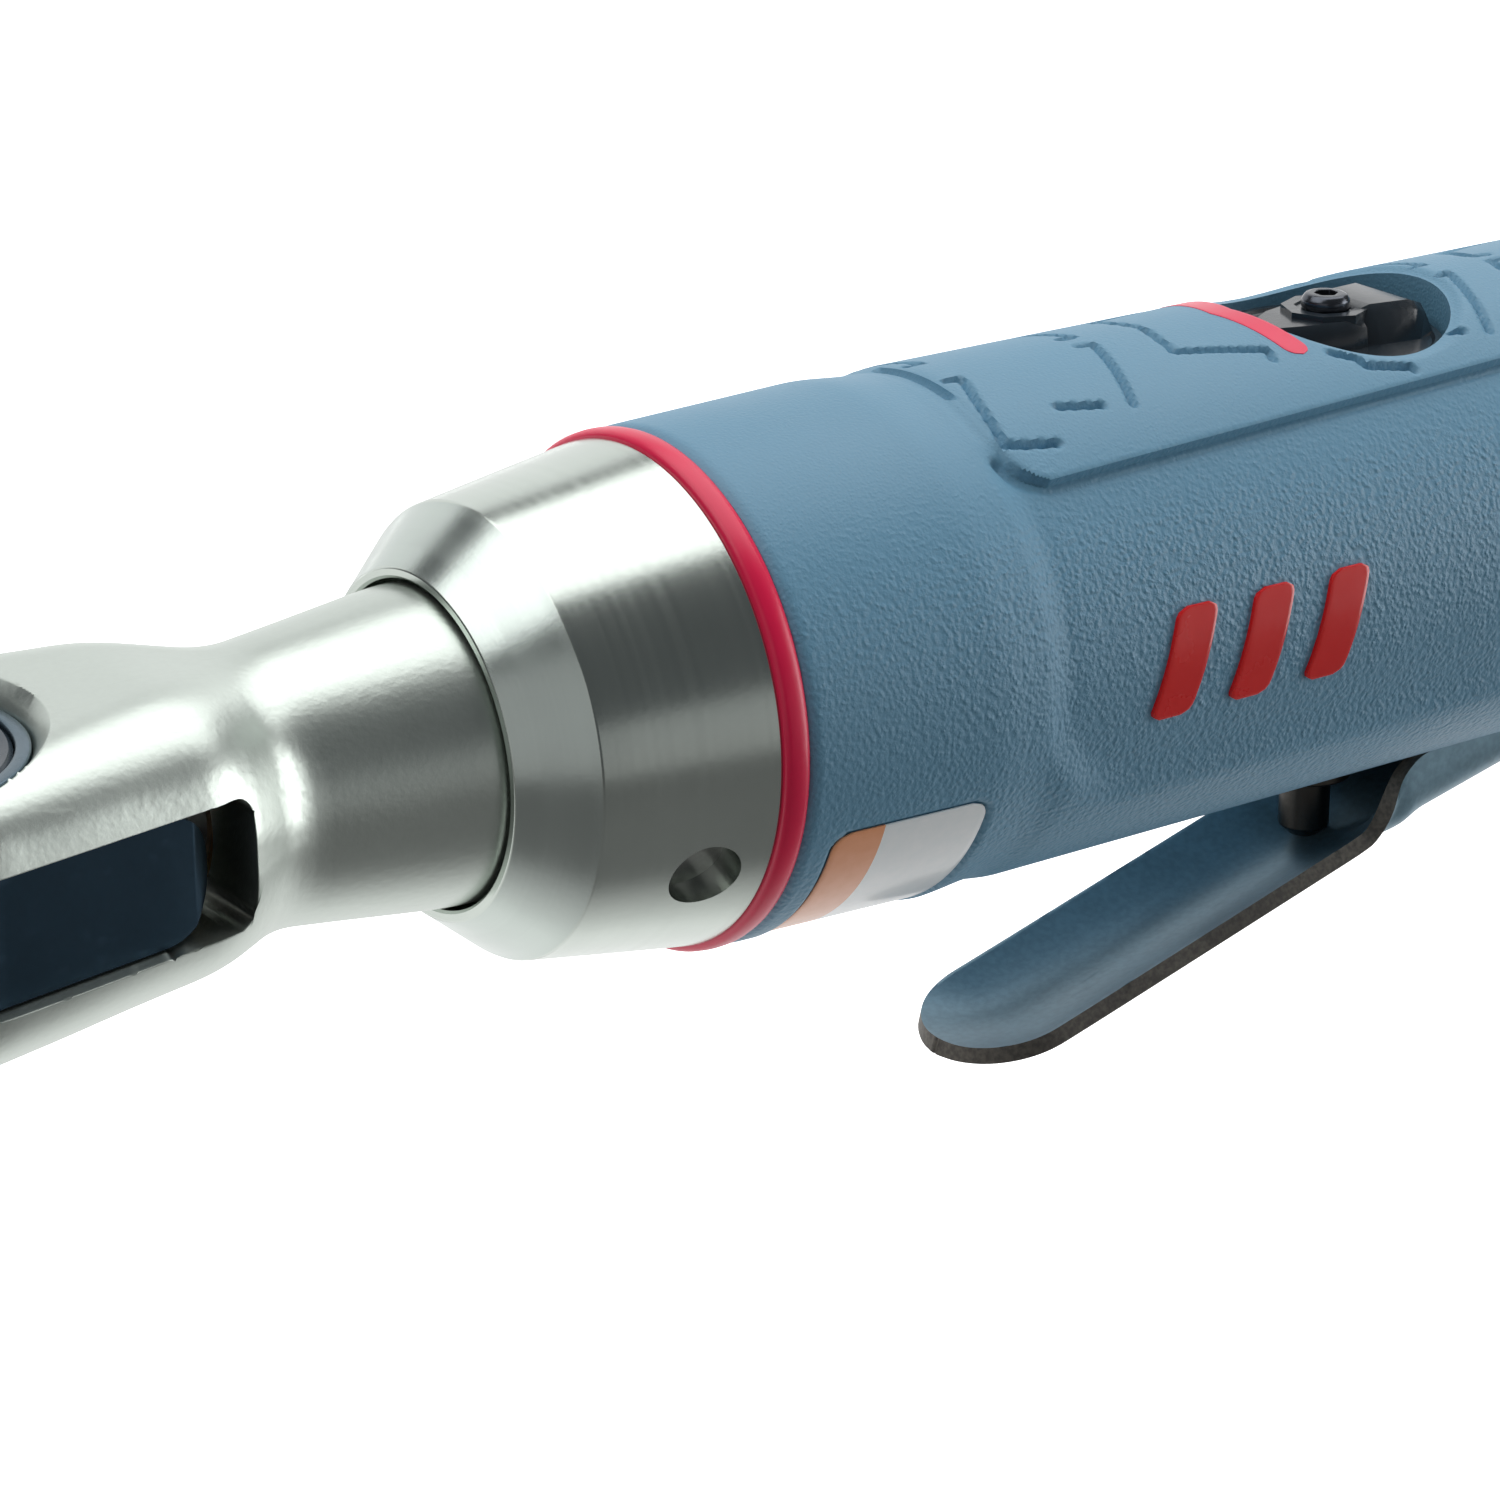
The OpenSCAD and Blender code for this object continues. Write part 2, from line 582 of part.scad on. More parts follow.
module regulator_sleeve() color("silver") upright(valve_x) difference() {
    translate([0, 0, seat_high + 0.1]) cylinder(h = knob_low - seat_high - 0.1, r = sleeve_r - run_gap);
    translate([0, 0, seat_high - 1]) cylinder(h = sleeve_roof - seat_high + 1, r = sleeve_bore_r);
    rotate([0, 90, 0]) cylinder(h = 10, r = 2.9);
    tube_z(13, 14.2, sleeve_r + 1, 6);
    translate([0, 0, 12]) cylinder(h = 10, r = 1.1);
}
module regulator_seal() color("black") upright(valve_x) translate([0, 0, 13.6]) seal(6.48, 0.45);
module regulator_knob() color("#1c1d20") upright(valve_x) difference() {
    union() {
        translate([0, 0, knob_low]) cylinder(h = knob_base_high - knob_low, r = pocket_r - 0.35);
        translate([0, 0, knob_base_high - eps]) linear_extrude(knob_high - knob_base_high - 1.2) {
            polygon([[-10.2, 0], [-5, -3], [4, -3.6], [4, 3.6], [-5, 3]]);
            translate([4.5, 0]) circle(r = 4.2);
            circle(r = 3.6);
        }
        translate([0, 0, knob_base_high]) cylinder(h = knob_high - knob_base_high - 0.4, r = 3.2);
    }
    translate([0, 0, 21.9]) cylinder(h = 3, r = 2.15);
    translate([0, 0, 16]) cylinder(h = 8, r = 1.1);
}
module regulator_screw() color("dimgray") upright(valve_x) difference() {
    union() {
        translate([0, 0, 21.9]) cylinder(h = 1.3, r = 2.1);
        translate([0, 0, 12]) cylinder(h = 10, r = 1.1);
    }
    translate([0, 0, 22.2]) cylinder(h = 2, r = 1.1, $fn = 6);
}

// ---- throttle lever ----

function rim_z(x) = -41 + (x - 116.1) * rim_slope;

// Side view of the lever as [x, z from the tool's axis]; lift moves its floor up by the sheet's thickness
module lever_side(lift) polygon([
    [lever_tip_x - lift, rim_z(lever_tip_x) + 2 * lift], [153, rim_z(153) + 2 * lift], [156.5, -27.9 + 2 * lift],
    [160, -25 + 2 * lift], [163, -22.6 + 2 * lift], [175, -18.8 + 2 * lift], [192, -14.4 + 2 * lift],
    [204, -14.4 + 2 * lift], [205 + lift, -17], [203.5 + lift, -20 + lift], [160, -29.6 + lift],
    [155, rim_z(155) - 4 + lift], [lever_tip_x - lift, rim_z(lever_tip_x) - 4 + lift]]);
module lever_body(width, lift) translate([0, width / 2, axis_z]) rotate([90, 0, 0])
    linear_extrude(width) lever_side(lift);

module throttle_lever() color("#3a4650") difference() {
    intersection() {
        lever_body(lever_w, 0);
        union() {
            translate([lever_tip_x + lever_w / 2, 0, -60]) cylinder(h = 90, r = lever_w / 2);
            translate([lever_tip_x + lever_w / 2, -lever_w / 2, -60]) cube([100, lever_w, 90]);
        }
    }
    intersection() {
        lever_body(lever_w - 2 * lever_t, lever_t);
        union() {
            translate([lever_tip_x + lever_w / 2, 0, -60]) cylinder(h = 90, r = lever_w / 2 - lever_t);
            translate([lever_tip_x + lever_w / 2, -lever_w / 2, -60]) cube([100, lever_w, 90]);
        }
    }
    translate([pivot_x, 30, axis_z - pivot_drop]) rotate([90, 0, 0]) cylinder(h = 60, r = lever_pin_r + axle_gap);
}
module lever_pin() color("silver")
    translate([pivot_x, 15.5, axis_z - pivot_drop]) rotate([90, 0, 0]) cylinder(h = 31, r = lever_pin_r);

// ---- inlet and exhaust ----

module inlet_bushing() color("silver") difference() {
    union() {
        bar_x(205.6, 227, inlet_thread_r);
        along_tool(226.6) rotate(30) cylinder(h = inlet_end - 226.6, r = 12.1, $fn = 6);
    }
    bar_x(200, inlet_end + 1, 4.5);
    bar_x(inlet_end - inlet_bore_len, inlet_end + 1, inlet_bore_r);
    tube_x(inlet_seal_x - 1, inlet_seal_x + 1, inlet_thread_r + 1, 7);
}
module inlet_seal() color("black") along_tool(inlet_seal_x) seal(7.72, 0.62);
module inlet_screen() color("gold") difference() {
    bar_x(226, 226.6, 4.5);
    for (k = [0 : 5]) along_tool(225) rotate(60 * k) translate([2.6, 0, 0]) cylinder(h = 3, r = 0.9);
    bar_x(225, 228, 0.9);
}
module exhaust_deflector() color("#2b3036") difference() {
    turned([[inlet_thread_r, grip_end], [22.6, grip_end], [22.4, 222], [20.5, 226.6], [inlet_thread_r, 226.6]]);
    tube_x(grip_end - 1, 222.5, 20, 10);
    for (k = [0 : 11]) along_tool(220) rotate(30 * k) translate([15.4, 0, 0]) cylinder(h = 8, r = 1.9);
}
module exhaust_silencer() color("khaki") tube_x(grip_end + 1, 221.5, 19.7, 10.3);

ratchet_head();
neck_bush();
lower_thrust_washer();
upper_thrust_washer();
cover_plate();
retaining_ring();
anvil();
socket_ball();
socket_ball_spring();
pawl();
pawl_pin();
pawl_plunger();
pawl_spring();
reverse_knob();
ratchet_yoke();
crankshaft();
crank_bushing();
planet_pins();
planet_gear(0);  // planet_gear_1
planet_gear(1);  // planet_gear_2
planet_gear(2);  // planet_gear_3
ring_gear();
carrier_washer();
gear_washer();
coupling_nut();
red_ring();
threaded_collar();
front_end_plate();
front_bearing_outer();
front_bearing_inner();
front_bearing_balls();
motor_cylinder();
motor_dowel();
rotor();
rotor_vanes();
rear_end_plate();
rear_bearing_outer();
rear_bearing_inner();
rear_bearing_balls();
grip_housing();
label();
red_stripe();
side_bars();
valve_seat();
valve_bushing();
plunger_seal();
throttle_plunger();
valve_spring();
regulator_sleeve();
regulator_seal();
regulator_knob();
regulator_screw();
throttle_lever();
lever_pin();
inlet_bushing();
inlet_screen();
inlet_seal();
exhaust_deflector();
exhaust_silencer();
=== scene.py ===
import math

import bpy
import numpy as np
from mathutils import Matrix, Vector


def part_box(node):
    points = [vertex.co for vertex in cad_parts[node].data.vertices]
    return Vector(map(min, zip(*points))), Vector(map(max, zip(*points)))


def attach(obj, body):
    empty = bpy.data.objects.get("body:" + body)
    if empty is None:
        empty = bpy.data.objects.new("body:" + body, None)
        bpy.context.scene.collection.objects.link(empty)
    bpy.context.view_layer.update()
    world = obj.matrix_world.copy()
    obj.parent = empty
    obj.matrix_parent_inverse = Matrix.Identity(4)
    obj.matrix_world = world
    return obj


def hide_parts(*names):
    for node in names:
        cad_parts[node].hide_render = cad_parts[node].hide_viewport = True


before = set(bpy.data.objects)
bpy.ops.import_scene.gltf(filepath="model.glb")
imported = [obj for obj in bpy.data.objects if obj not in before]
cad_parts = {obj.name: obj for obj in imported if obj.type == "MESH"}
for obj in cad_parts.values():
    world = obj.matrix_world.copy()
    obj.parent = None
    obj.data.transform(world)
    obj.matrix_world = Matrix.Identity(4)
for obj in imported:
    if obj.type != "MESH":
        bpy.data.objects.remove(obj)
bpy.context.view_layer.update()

# ---- Anvil and socket ball ----
# The anvil turns the socket: a forged and ground steel piece with a 3/8 inch square below the head. Its
# square has broken edges and dull, slightly scuffed flats. The spring ball that holds the socket is
# polished steel.

MM = 0.001
TOOL_AXIS, AXIS_MM = 0.014, 14


def clear_selection():
    """Leaves edit mode and selects nothing, so that the next operator works on one piece only."""
    if bpy.context.object and bpy.context.object.mode != "OBJECT":
        bpy.ops.object.mode_set(mode="OBJECT")
    bpy.ops.object.select_all(action="DESELECT")


def take(piece):
    clear_selection()
    piece.select_set(True)
    bpy.context.view_layer.objects.active = piece


def named(name):
    """The primitive just added, under its own name."""
    piece = bpy.context.object
    piece.name = name
    piece.data.name = name
    return piece


def apply_modifier(piece, kind, **settings):
    take(piece)
    modifier = piece.modifiers.new(kind.lower(), kind)
    for key, value in settings.items():
        setattr(modifier, key, value)
    bpy.ops.object.modifier_apply(modifier=modifier.name)


def ease_edges(piece, width, segments=2, angle=28):
    """Small rounded edges, as deburring or a mould leaves them."""
    apply_modifier(piece, "BEVEL", width=width * MM, segments=segments, limit_method="ANGLE",
                   angle_limit=math.radians(angle), use_clamp_overlap=True, miter_outer="MITER_ARC")


def mesh_of_node(name, node, edge=0.15, segments=2):
    """A new piece from a CAD node's shape: its triangles are merged, flats made whole and edges eased."""
    clear_selection()
    piece = bpy.data.objects.new(name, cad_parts[node].data.copy())
    piece.data.name = name
    bpy.context.scene.collection.objects.link(piece)
    take(piece)
    bpy.ops.mesh.customdata_custom_splitnormals_clear()
    bpy.ops.object.mode_set(mode="EDIT")
    bpy.ops.mesh.select_all(action="SELECT")
    bpy.ops.mesh.remove_doubles(threshold=0.002 * MM)
    bpy.ops.mesh.dissolve_limited(angle_limit=math.radians(0.6))
    bpy.ops.object.mode_set(mode="OBJECT")
    if edge:
        ease_edges(piece, edge, segments)
    return piece


def settle(piece, material, body, slot, *nodes, angle=32, crisp=True):
    """Closes seams, points faces outwards, smooths, paints, and fixes the piece to its body."""
    take(piece)
    bpy.ops.object.transform_apply(location=True, rotation=True, scale=True)
    bpy.ops.object.mode_set(mode="EDIT")
    bpy.ops.mesh.select_all(action="SELECT")
    bpy.ops.mesh.remove_doubles(threshold=0.001 * MM)
    bpy.ops.mesh.normals_make_consistent(inside=False)
    bpy.ops.object.mode_set(mode="OBJECT")
    bpy.ops.object.shade_smooth_by_angle(angle=math.radians(angle))
    if crisp:
        apply_modifier(piece, "WEIGHTED_NORMAL", keep_sharp=True)
    if material:
        piece.data.materials.clear()
        piece.data.materials.append(material)
    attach(piece, body)
    if nodes:
        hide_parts(*nodes)
    return piece


def place(tree, kind, inputs=None, **settings):
    """One node in a material, its sockets set to values or linked to other nodes' outputs."""
    node = tree.nodes.new("ShaderNode" + kind)
    for key, value in settings.items():
        setattr(node, key, value)
    for key, value in (inputs or {}).items():
        if isinstance(value, bpy.types.NodeSocket):
            tree.links.new(value, node.inputs[key])
        else:
            node.inputs[key].default_value = value
    return node


def two_tone(tree, mask, dark, light):
    """Two colours mixed by a mask."""
    mix = place(tree, "Mix", {"Factor": mask}, data_type="RGBA")
    mix.inputs["A"].default_value = (*dark, 1)
    mix.inputs["B"].default_value = (*light, 1)
    return mix


def levels(tree, mask, low, high, dark=0.3, light=0.7):
    """A mask's useful range, from dark to light, stretched to run from low to high."""
    return place(tree, "MapRange", {"Value": mask, "From Min": dark, "From Max": light, "To Min": low,
                                    "To Max": high})


def start_material(name, **values):
    """A material with its shader, and the object coordinates that its patterns follow."""
    material = bpy.data.materials.new(name)
    material.use_nodes = True
    tree = material.node_tree
    shader = tree.nodes["Principled BSDF"]
    for key, value in values.items():
        shader.inputs[key.replace("_", " ")].default_value = value
    where = place(tree, "TexCoord").outputs["Object"]
    return material, tree, shader, where


def start_group(name, inputs, outputs):
    group = bpy.data.node_groups.new(name, "ShaderNodeTree")
    for label, kind, value in inputs:
        socket = group.interface.new_socket(label, in_out="INPUT", socket_type="NodeSocket" + kind)
        if value is not None:
            socket.default_value = value
    for label, kind in outputs:
        group.interface.new_socket(label, in_out="OUTPUT", socket_type="NodeSocket" + kind)
    return group, group.nodes.new("NodeGroupInput").outputs, group.nodes.new("NodeGroupOutput").inputs


def use_group(tree, group, inputs):
    node = tree.nodes.new("ShaderNodeGroup")
    node.node_tree = group
    for key, value in inputs.items():
        if isinstance(value, bpy.types.NodeSocket):
            tree.links.new(value, node.inputs[key])
        else:
            node.inputs[key].default_value = value
    return node.outputs


# Handling wear: broad smudges, fine specks and faint scratches, as masks from 0 to 1
wear, given, gives = start_group(
    "handling_wear", [("Vector", "Vector", None), ("Smudge Scale", "Float", 60.0),
                      ("Speck Scale", "Float", 1800.0)],
    [("Smudge", "Float"), ("Speck", "Float"), ("Scratch", "Float")])
smudge = place(wear, "TexNoise", {"Vector": given["Vector"], "Scale": given["Smudge Scale"], "Detail": 5.0,
                                  "Roughness": 0.6})
speck = place(wear, "TexNoise", {"Vector": given["Vector"], "Scale": given["Speck Scale"], "Detail": 2.0})
stretch = place(wear, "Mapping", {"Vector": given["Vector"], "Rotation": (0.5, 0.3, 0.6),
                                  "Scale": (90.0, 2600.0, 900.0)})
scratch = place(wear, "TexNoise", {"Vector": stretch.outputs[0], "Scale": 1.0, "Detail": 1.0})
scratch_line = place(wear, "MapRange", {"Value": scratch.outputs[0], "From Min": 0.66, "From Max": 0.76})
wear.links.new(smudge.outputs[0], gives["Smudge"])
wear.links.new(speck.outputs[0], gives["Speck"])
wear.links.new(scratch_line.outputs[0], gives["Scratch"])


def metal(name, colour, roughness, spread=0.08, shade=0.12, bump=0.25, speck_scale=1800.0, metallic=1.0,
          specks=0.35, scratches=0.1, smudge_scale=60.0):
    """A bare or plated metal: colour varied by smudges and specks, roughness by smudges and scratches."""
    material, tree, shader, where = start_material(name, Metallic=metallic)
    marks = use_group(tree, wear, {"Vector": where, "Speck Scale": speck_scale, "Smudge Scale": smudge_scale})
    tone = levels(tree, marks["Smudge"], 1.0 - shade, 1.0)
    fleck = levels(tree, marks["Speck"], 1.0 - shade * specks, 1.0, 0.35, 0.65)
    product = place(tree, "Math", operation="MULTIPLY")
    tree.links.new(tone.outputs[0], product.inputs[0])
    tree.links.new(fleck.outputs[0], product.inputs[1])
    paint = two_tone(tree, product.outputs[0], (0.02, 0.02, 0.022), colour)
    tree.links.new(paint.outputs["Result"], shader.inputs["Base Color"])
    matt = levels(tree, marks["Smudge"], roughness - spread, roughness + spread)
    scuffed = place(tree, "Math", operation="MULTIPLY_ADD")
    tree.links.new(marks["Scratch"], scuffed.inputs[0])
    scuffed.inputs[1].default_value = scratches
    tree.links.new(matt.outputs[0], scuffed.inputs[2])
    tree.links.new(scuffed.outputs[0], shader.inputs["Roughness"])
    relief = place(tree, "Bump", {"Height": marks["Speck"], "Strength": bump, "Distance": 0.00004})
    tree.links.new(relief.outputs[0], shader.inputs["Normal"])
    return material


ground_steel = metal("ground_steel", (0.60, 0.59, 0.57), 0.26)
polished_steel = metal("polished_steel", (0.75, 0.74, 0.72), 0.10, spread=0.03, shade=0.05, bump=0.05)

anvil = mesh_of_node("anvil_with_square", "anvil", edge=0.25, segments=3)
settle(anvil, ground_steel, "anvil", "steel", "anvil")

bpy.ops.mesh.primitive_uv_sphere_add(segments=40, ring_count=24, radius=1.5 * MM)
ball = named("ball_of_square")
low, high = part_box("socket_ball")
ball.location = (low + high) / 2
settle(ball, polished_steel, "socket_ball", "steel", "socket_ball")

# ---- Ratchet head ----
# One steel forging, blasted and satin nickel plated: two arms round a slot, a round end, and a neck that
# runs back into the coupling nut. The upper arm has a machined opening with a bright chamfer for the cover
# and the dial.

HEAD_END_R, HEAD_RING_POINTS, HEAD_EASE = 19.3, 96, 2.4
SLOT_END, SLOT_HALF, OPENING_R = 29.0, 5.65, 15.7
# Outline of the forging along the tool, as (x, mm from the tool's axis)
HEAD_NECK = [(35.0, 11.8), (41.0, 12.5), (50.4, 13.7), (52, 13.9), (70, 14.0)]
HEAD_SIDE = [(4, 19.3), (6.4, 18.9), (17, 17.2), (27.6, 15.6)] + HEAD_NECK
HEAD_TOP = [(-20, 11.6), (8, 11.9), (16, 12.5), (26, 12.9), (29.5, 12.4)] + HEAD_NECK
HEAD_LOW = [(-20, 12.1), (26, 12.2), (30, 12.1)] + HEAD_NECK
HEAD_ROUND = [(-20, 6.5), (4, 7.5), (12, 8.6), (20, 10.0), (26, 10.8)] + HEAD_NECK


def edit_all(piece):
    """Edit mode with the whole piece selected."""
    take(piece)
    bpy.ops.object.mode_set(mode="EDIT")
    bpy.ops.mesh.select_all(action="SELECT")


def combine(piece, operation, *others):
    """Joins other shapes to the piece, or keeps or removes what they share with it."""
    for other in others:
        apply_modifier(piece, "BOOLEAN", operation=operation, solver="EXACT", object=other)
        bpy.data.objects.remove(other)


def cut(piece, *cutters):
    combine(piece, "DIFFERENCE", *cutters)


def rounded_line(points, x, reach):
    """Values at x on a line through points (x, value), its corners eased over a reach in mm."""
    xs, values = zip(*points)
    return sum(np.interp(x + reach * k / 6, xs, values) for k in range(-6, 7)) / 13


def smooth_step(t):
    t = np.clip(t, 0, 1)
    return t * t * (3 - 2 * t)


def rounded_corner(a, b, radius):
    """Distance to the corner where two surfaces meet, the corner rounded off."""
    u, v = a + radius, b + radius
    return np.hypot(np.maximum(u, 0), np.maximum(v, 0)) + np.minimum(np.maximum(u, v), 0) - radius


def head_skin(x, y, z):
    """Distance from the forging's surface in mm, less than nothing inside; z from the tool's axis."""
    side, rounding = rounded_line(HEAD_SIDE, x, HEAD_EASE), rounded_line(HEAD_ROUND, x, HEAD_EASE)
    tall = np.where(z > 0, rounded_line(HEAD_TOP, x, HEAD_EASE), rounded_line(HEAD_LOW, x, HEAD_EASE))
    plan = np.where(x < 4, np.hypot(x, y) - HEAD_END_R - 0.15, np.abs(y) - side)
    rise = np.abs(z) - tall
    return rounded_corner(plan, rise, np.minimum(rounding, np.minimum(side, tall)))


def mesh_points(piece):
    points = np.zeros(len(piece.data.vertices) * 3)
    piece.data.vertices.foreach_get("co", points)
    return points.reshape(-1, 3)


def head_slope(points):
    """Distance and outward direction of the forging's skin at points in mm."""
    x, y, z = points.T
    h = 0.02
    slope = np.column_stack([head_skin(x + h, y, z) - head_skin(x - h, y, z),
                             head_skin(x, y + h, z) - head_skin(x, y - h, z),
                             head_skin(x, y, z + h) - head_skin(x, y, z - h)]) / (2 * h)
    length = np.maximum(np.linalg.norm(slope, axis=1), 0.2)
    return head_skin(x, y, z), slope / length[:, None], length


clear_selection()
head_stations = np.concatenate([-HEAD_END_R * np.cos(np.linspace(0.04, 1.35, 26)),
                                np.linspace(-3.4, 58.2, 80)])
bpy.ops.mesh.primitive_grid_add(x_subdivisions=len(head_stations) - 1, y_subdivisions=HEAD_RING_POINTS,
                                size=1)
head = named("head_forging")
grid = mesh_points(head)
x = head_stations[np.rint((grid[:, 0] + 0.5) * (len(head_stations) - 1)).astype(int)]
turn = (grid[:, 1] + 0.5) * 2 * math.pi
wide = np.where(x < 4, np.sqrt(np.maximum(HEAD_END_R ** 2 - x * x, 0.01)),
                rounded_line(HEAD_SIDE, x, HEAD_EASE))
tall = np.where(np.sin(turn) > 0, rounded_line(HEAD_TOP, x, HEAD_EASE), rounded_line(HEAD_LOW, x, HEAD_EASE))
grid = np.column_stack([x, wide * np.sign(np.cos(turn)) * np.abs(np.cos(turn)) ** 0.7,
                        tall * np.sign(np.sin(turn)) * np.abs(np.sin(turn)) ** 0.7]) * MM
grid[:, 2] += TOOL_AXIS
head.data.vertices.foreach_set("co", grid.ravel())
edit_all(head)
bpy.ops.mesh.remove_doubles(threshold=0.01 * MM)
bpy.ops.mesh.select_all(action="DESELECT")
bpy.ops.mesh.select_non_manifold()
bpy.ops.mesh.edge_face_add()
bpy.ops.mesh.select_all(action="SELECT")
bpy.ops.mesh.normals_make_consistent(inside=False)
bpy.ops.object.mode_set(mode="OBJECT")


def turned(name, rings, axis="X", at=(0, 0, 0), segments=192, closed=False):
    """A turned piece from rings (place along the axis, radius) in mm. A solid is capped at both ends; a
    closed one goes round a bore, so its last ring is joined to its first."""
    clear_selection()
    lie = (0, math.pi / 2, 0) if axis == "X" else (0, 0, 0)
    centre = Vector(at) * MM
    step = Vector((1, 0, 0)) if axis == "X" else Vector((0, 0, 1))
    first, radius = rings[0]
    bpy.ops.mesh.primitive_circle_add(vertices=segments, radius=radius * MM,
                                      location=centre + step * first * MM,
                                      rotation=lie, fill_type="NOTHING" if closed else "NGON")
    piece = named(name)
    bpy.ops.object.transform_apply(location=True, rotation=True, scale=True)
    bpy.ops.object.mode_set(mode="EDIT")
    bpy.ops.mesh.select_all(action="SELECT")
    here = first
    for there, wide in rings[1:]:
        bpy.ops.mesh.extrude_region_move(TRANSFORM_OT_translate={"value": step * (there - here) * MM})
        if abs(wide - radius) > 1e-6:
            grow = wide / radius
            size = (1, grow, grow) if axis == "X" else (grow, grow, 1)
            bpy.ops.transform.resize(value=size, center_override=centre + step * there * MM)
        here, radius = there, wide
    if closed:
        bpy.ops.mesh.select_all(action="DESELECT")
        bpy.ops.mesh.select_non_manifold()
        bpy.ops.mesh.bridge_edge_loops()
    bpy.ops.mesh.select_all(action="SELECT")
    bpy.ops.mesh.normals_make_consistent(inside=False)
    bpy.ops.object.mode_set(mode="OBJECT")
    return piece


def block(name, low, high, easing=0.0):
    """A cutter or blank between two corners in mm from the drive square's shoulder."""
    clear_selection()
    low, high = Vector(low) * MM, Vector(high) * MM
    bpy.ops.mesh.primitive_cube_add(size=1, location=(low + high) / 2, scale=high - low)
    piece = named(name)
    bpy.ops.object.transform_apply(location=True, rotation=True, scale=True)
    if easing:
        ease_edges(piece, easing, segments=6)
    return piece


def pick_edges(piece, wanted):
    """Selects the edges whose two ends satisfy wanted, for the next edit operator."""
    take(piece)
    bpy.ops.object.mode_set(mode="EDIT")
    bpy.ops.mesh.select_all(action="DESELECT")
    bpy.ops.mesh.select_mode(type="EDGE")
    bpy.ops.object.mode_set(mode="OBJECT")
    points = [v.co for v in piece.data.vertices]
    for edge in piece.data.edges:
        a, b = (points[v] for v in edge.vertices)
        edge.select = wanted(a, b)
    bpy.ops.object.mode_set(mode="EDIT")


apply_modifier(head, "REMESH", mode="VOXEL", voxel_size=0.5 * MM)
# each point of the skin is drawn onto the forging's rounded surface
grid = mesh_points(head) / MM
grid[:, 2] -= TOOL_AXIS / MM
outer = grid[:, 0] < 56.5
for _ in range(6):
    distance, way, length = head_slope(grid)
    move = np.clip(distance / length, -0.35, 0.35) * outer
    grid -= way * move[:, None]
grid[:, 2] += TOOL_AXIS / MM
head.data.vertices.foreach_set("co", (grid * MM).ravel())
head.data.update()
slot_cutter = block("slot_cutter", (-40, -40, AXIS_MM - SLOT_HALF), (SLOT_END, 40, AXIS_MM + SLOT_HALF))
pick_edges(slot_cutter, lambda a, b: min(a.x, b.x) > 28 * MM and abs(a.y - b.y) > 1 * MM)
bpy.ops.mesh.bevel(offset=1.8 * MM, segments=6, affect="EDGES")
cut(head, slot_cutter,
    turned("opening_cutter", [(18.5, OPENING_R), (24.5, OPENING_R), (25.5, 16.45), (27.5, 17.95)], axis="Z"))
edit_all(head)
bpy.ops.mesh.remove_doubles(threshold=0.1 * MM)
bpy.ops.object.mode_set(mode="OBJECT")
apply_modifier(head, "BEVEL", width=0.16 * MM, segments=2, limit_method="ANGLE", angle_limit=math.radians(42),
               use_clamp_overlap=False)
flange = turned("flange_blank", [(56, 13.9), (58.4, 13.9), (58.4, 17.2), (64.4, 17.2)], at=(0, 0, AXIS_MM),
                segments=96)
combine(head, "UNION", flange)
cut(head,
    turned("journal_cutter", [(-10, 9.36), (9, 9.36)], axis="Z", segments=96),
    turned("snap_cutter", [(20.8, 15.0), (20.8, 16.3), (21.6, 16.3), (21.6, 15.0)], axis="Z", segments=128),
    turned("neck_cutter", [(27, 7.5), (59.9, 7.5), (59.9, 13.2), (66, 13.2)], at=(0, 0, AXIS_MM),
           segments=96))

satin_nickel = metal("satin_nickel", (0.61, 0.665, 0.615), 0.35, spread=0.025, shade=0.06, bump=0.5,
                     speck_scale=1500.0, scratches=0.06, smudge_scale=45.0)
settle(head, satin_nickel, "frame", "satin_nickel", "ratchet_head", angle=40, crisp=False)
corners = np.zeros(len(head.data.loops) * 3)
head.data.corner_normals.foreach_get("vector", corners)
corners = corners.reshape(-1, 3)
corner_points = np.zeros(len(head.data.loops), dtype=int)
head.data.loops.foreach_get("vertex_index", corner_points)
grid = mesh_points(head) / MM
grid[:, 2] -= TOOL_AXIS / MM
distance, way, length = head_slope(grid)
on_skin = (np.abs(distance) < 0.04) & (grid[:, 0] < 55.5)
agrees = (way[corner_points] * corners).sum(axis=1) > 0.75
corners = np.where((on_skin[corner_points] & agrees)[:, None], way[corner_points], corners)
head.data.normals_split_custom_set(corners.tolist())

# ---- Cover plate, retaining ring and reverse dial ----
# The cover is a blued steel cup snapped into the opening. The dial inside it is dished for a fingertip and
# has three low grip ribs near its edge; turning it points the pawl the other way.

black_oxide = metal("black_oxide", (0.040, 0.062, 0.085), 0.27, spread=0.07, shade=0.35, bump=0.25,
                    metallic=0.5, speck_scale=1300.0, scratches=0.12)

cover = turned("cover_cup", [(19.75, 9.4), (19.75, 15.6), (20.8, 15.6), (20.8, 14.8), (21.6, 14.8),
                             (21.6, 15.6),
                             (24.9, 15.6), (24.9, 14.3), (22.6, 14.3), (22.6, 9.4)], axis="Z", closed=True)
ease_edges(cover, 0.25, segments=3)
cover_blue = metal("cover_blue", (0.12, 0.19, 0.24), 0.28, spread=0.06, shade=0.35, bump=0.25, metallic=0.8,
                   speck_scale=1300.0, scratches=0.12)
settle(cover, cover_blue, "frame", "black_oxide", "cover_plate")

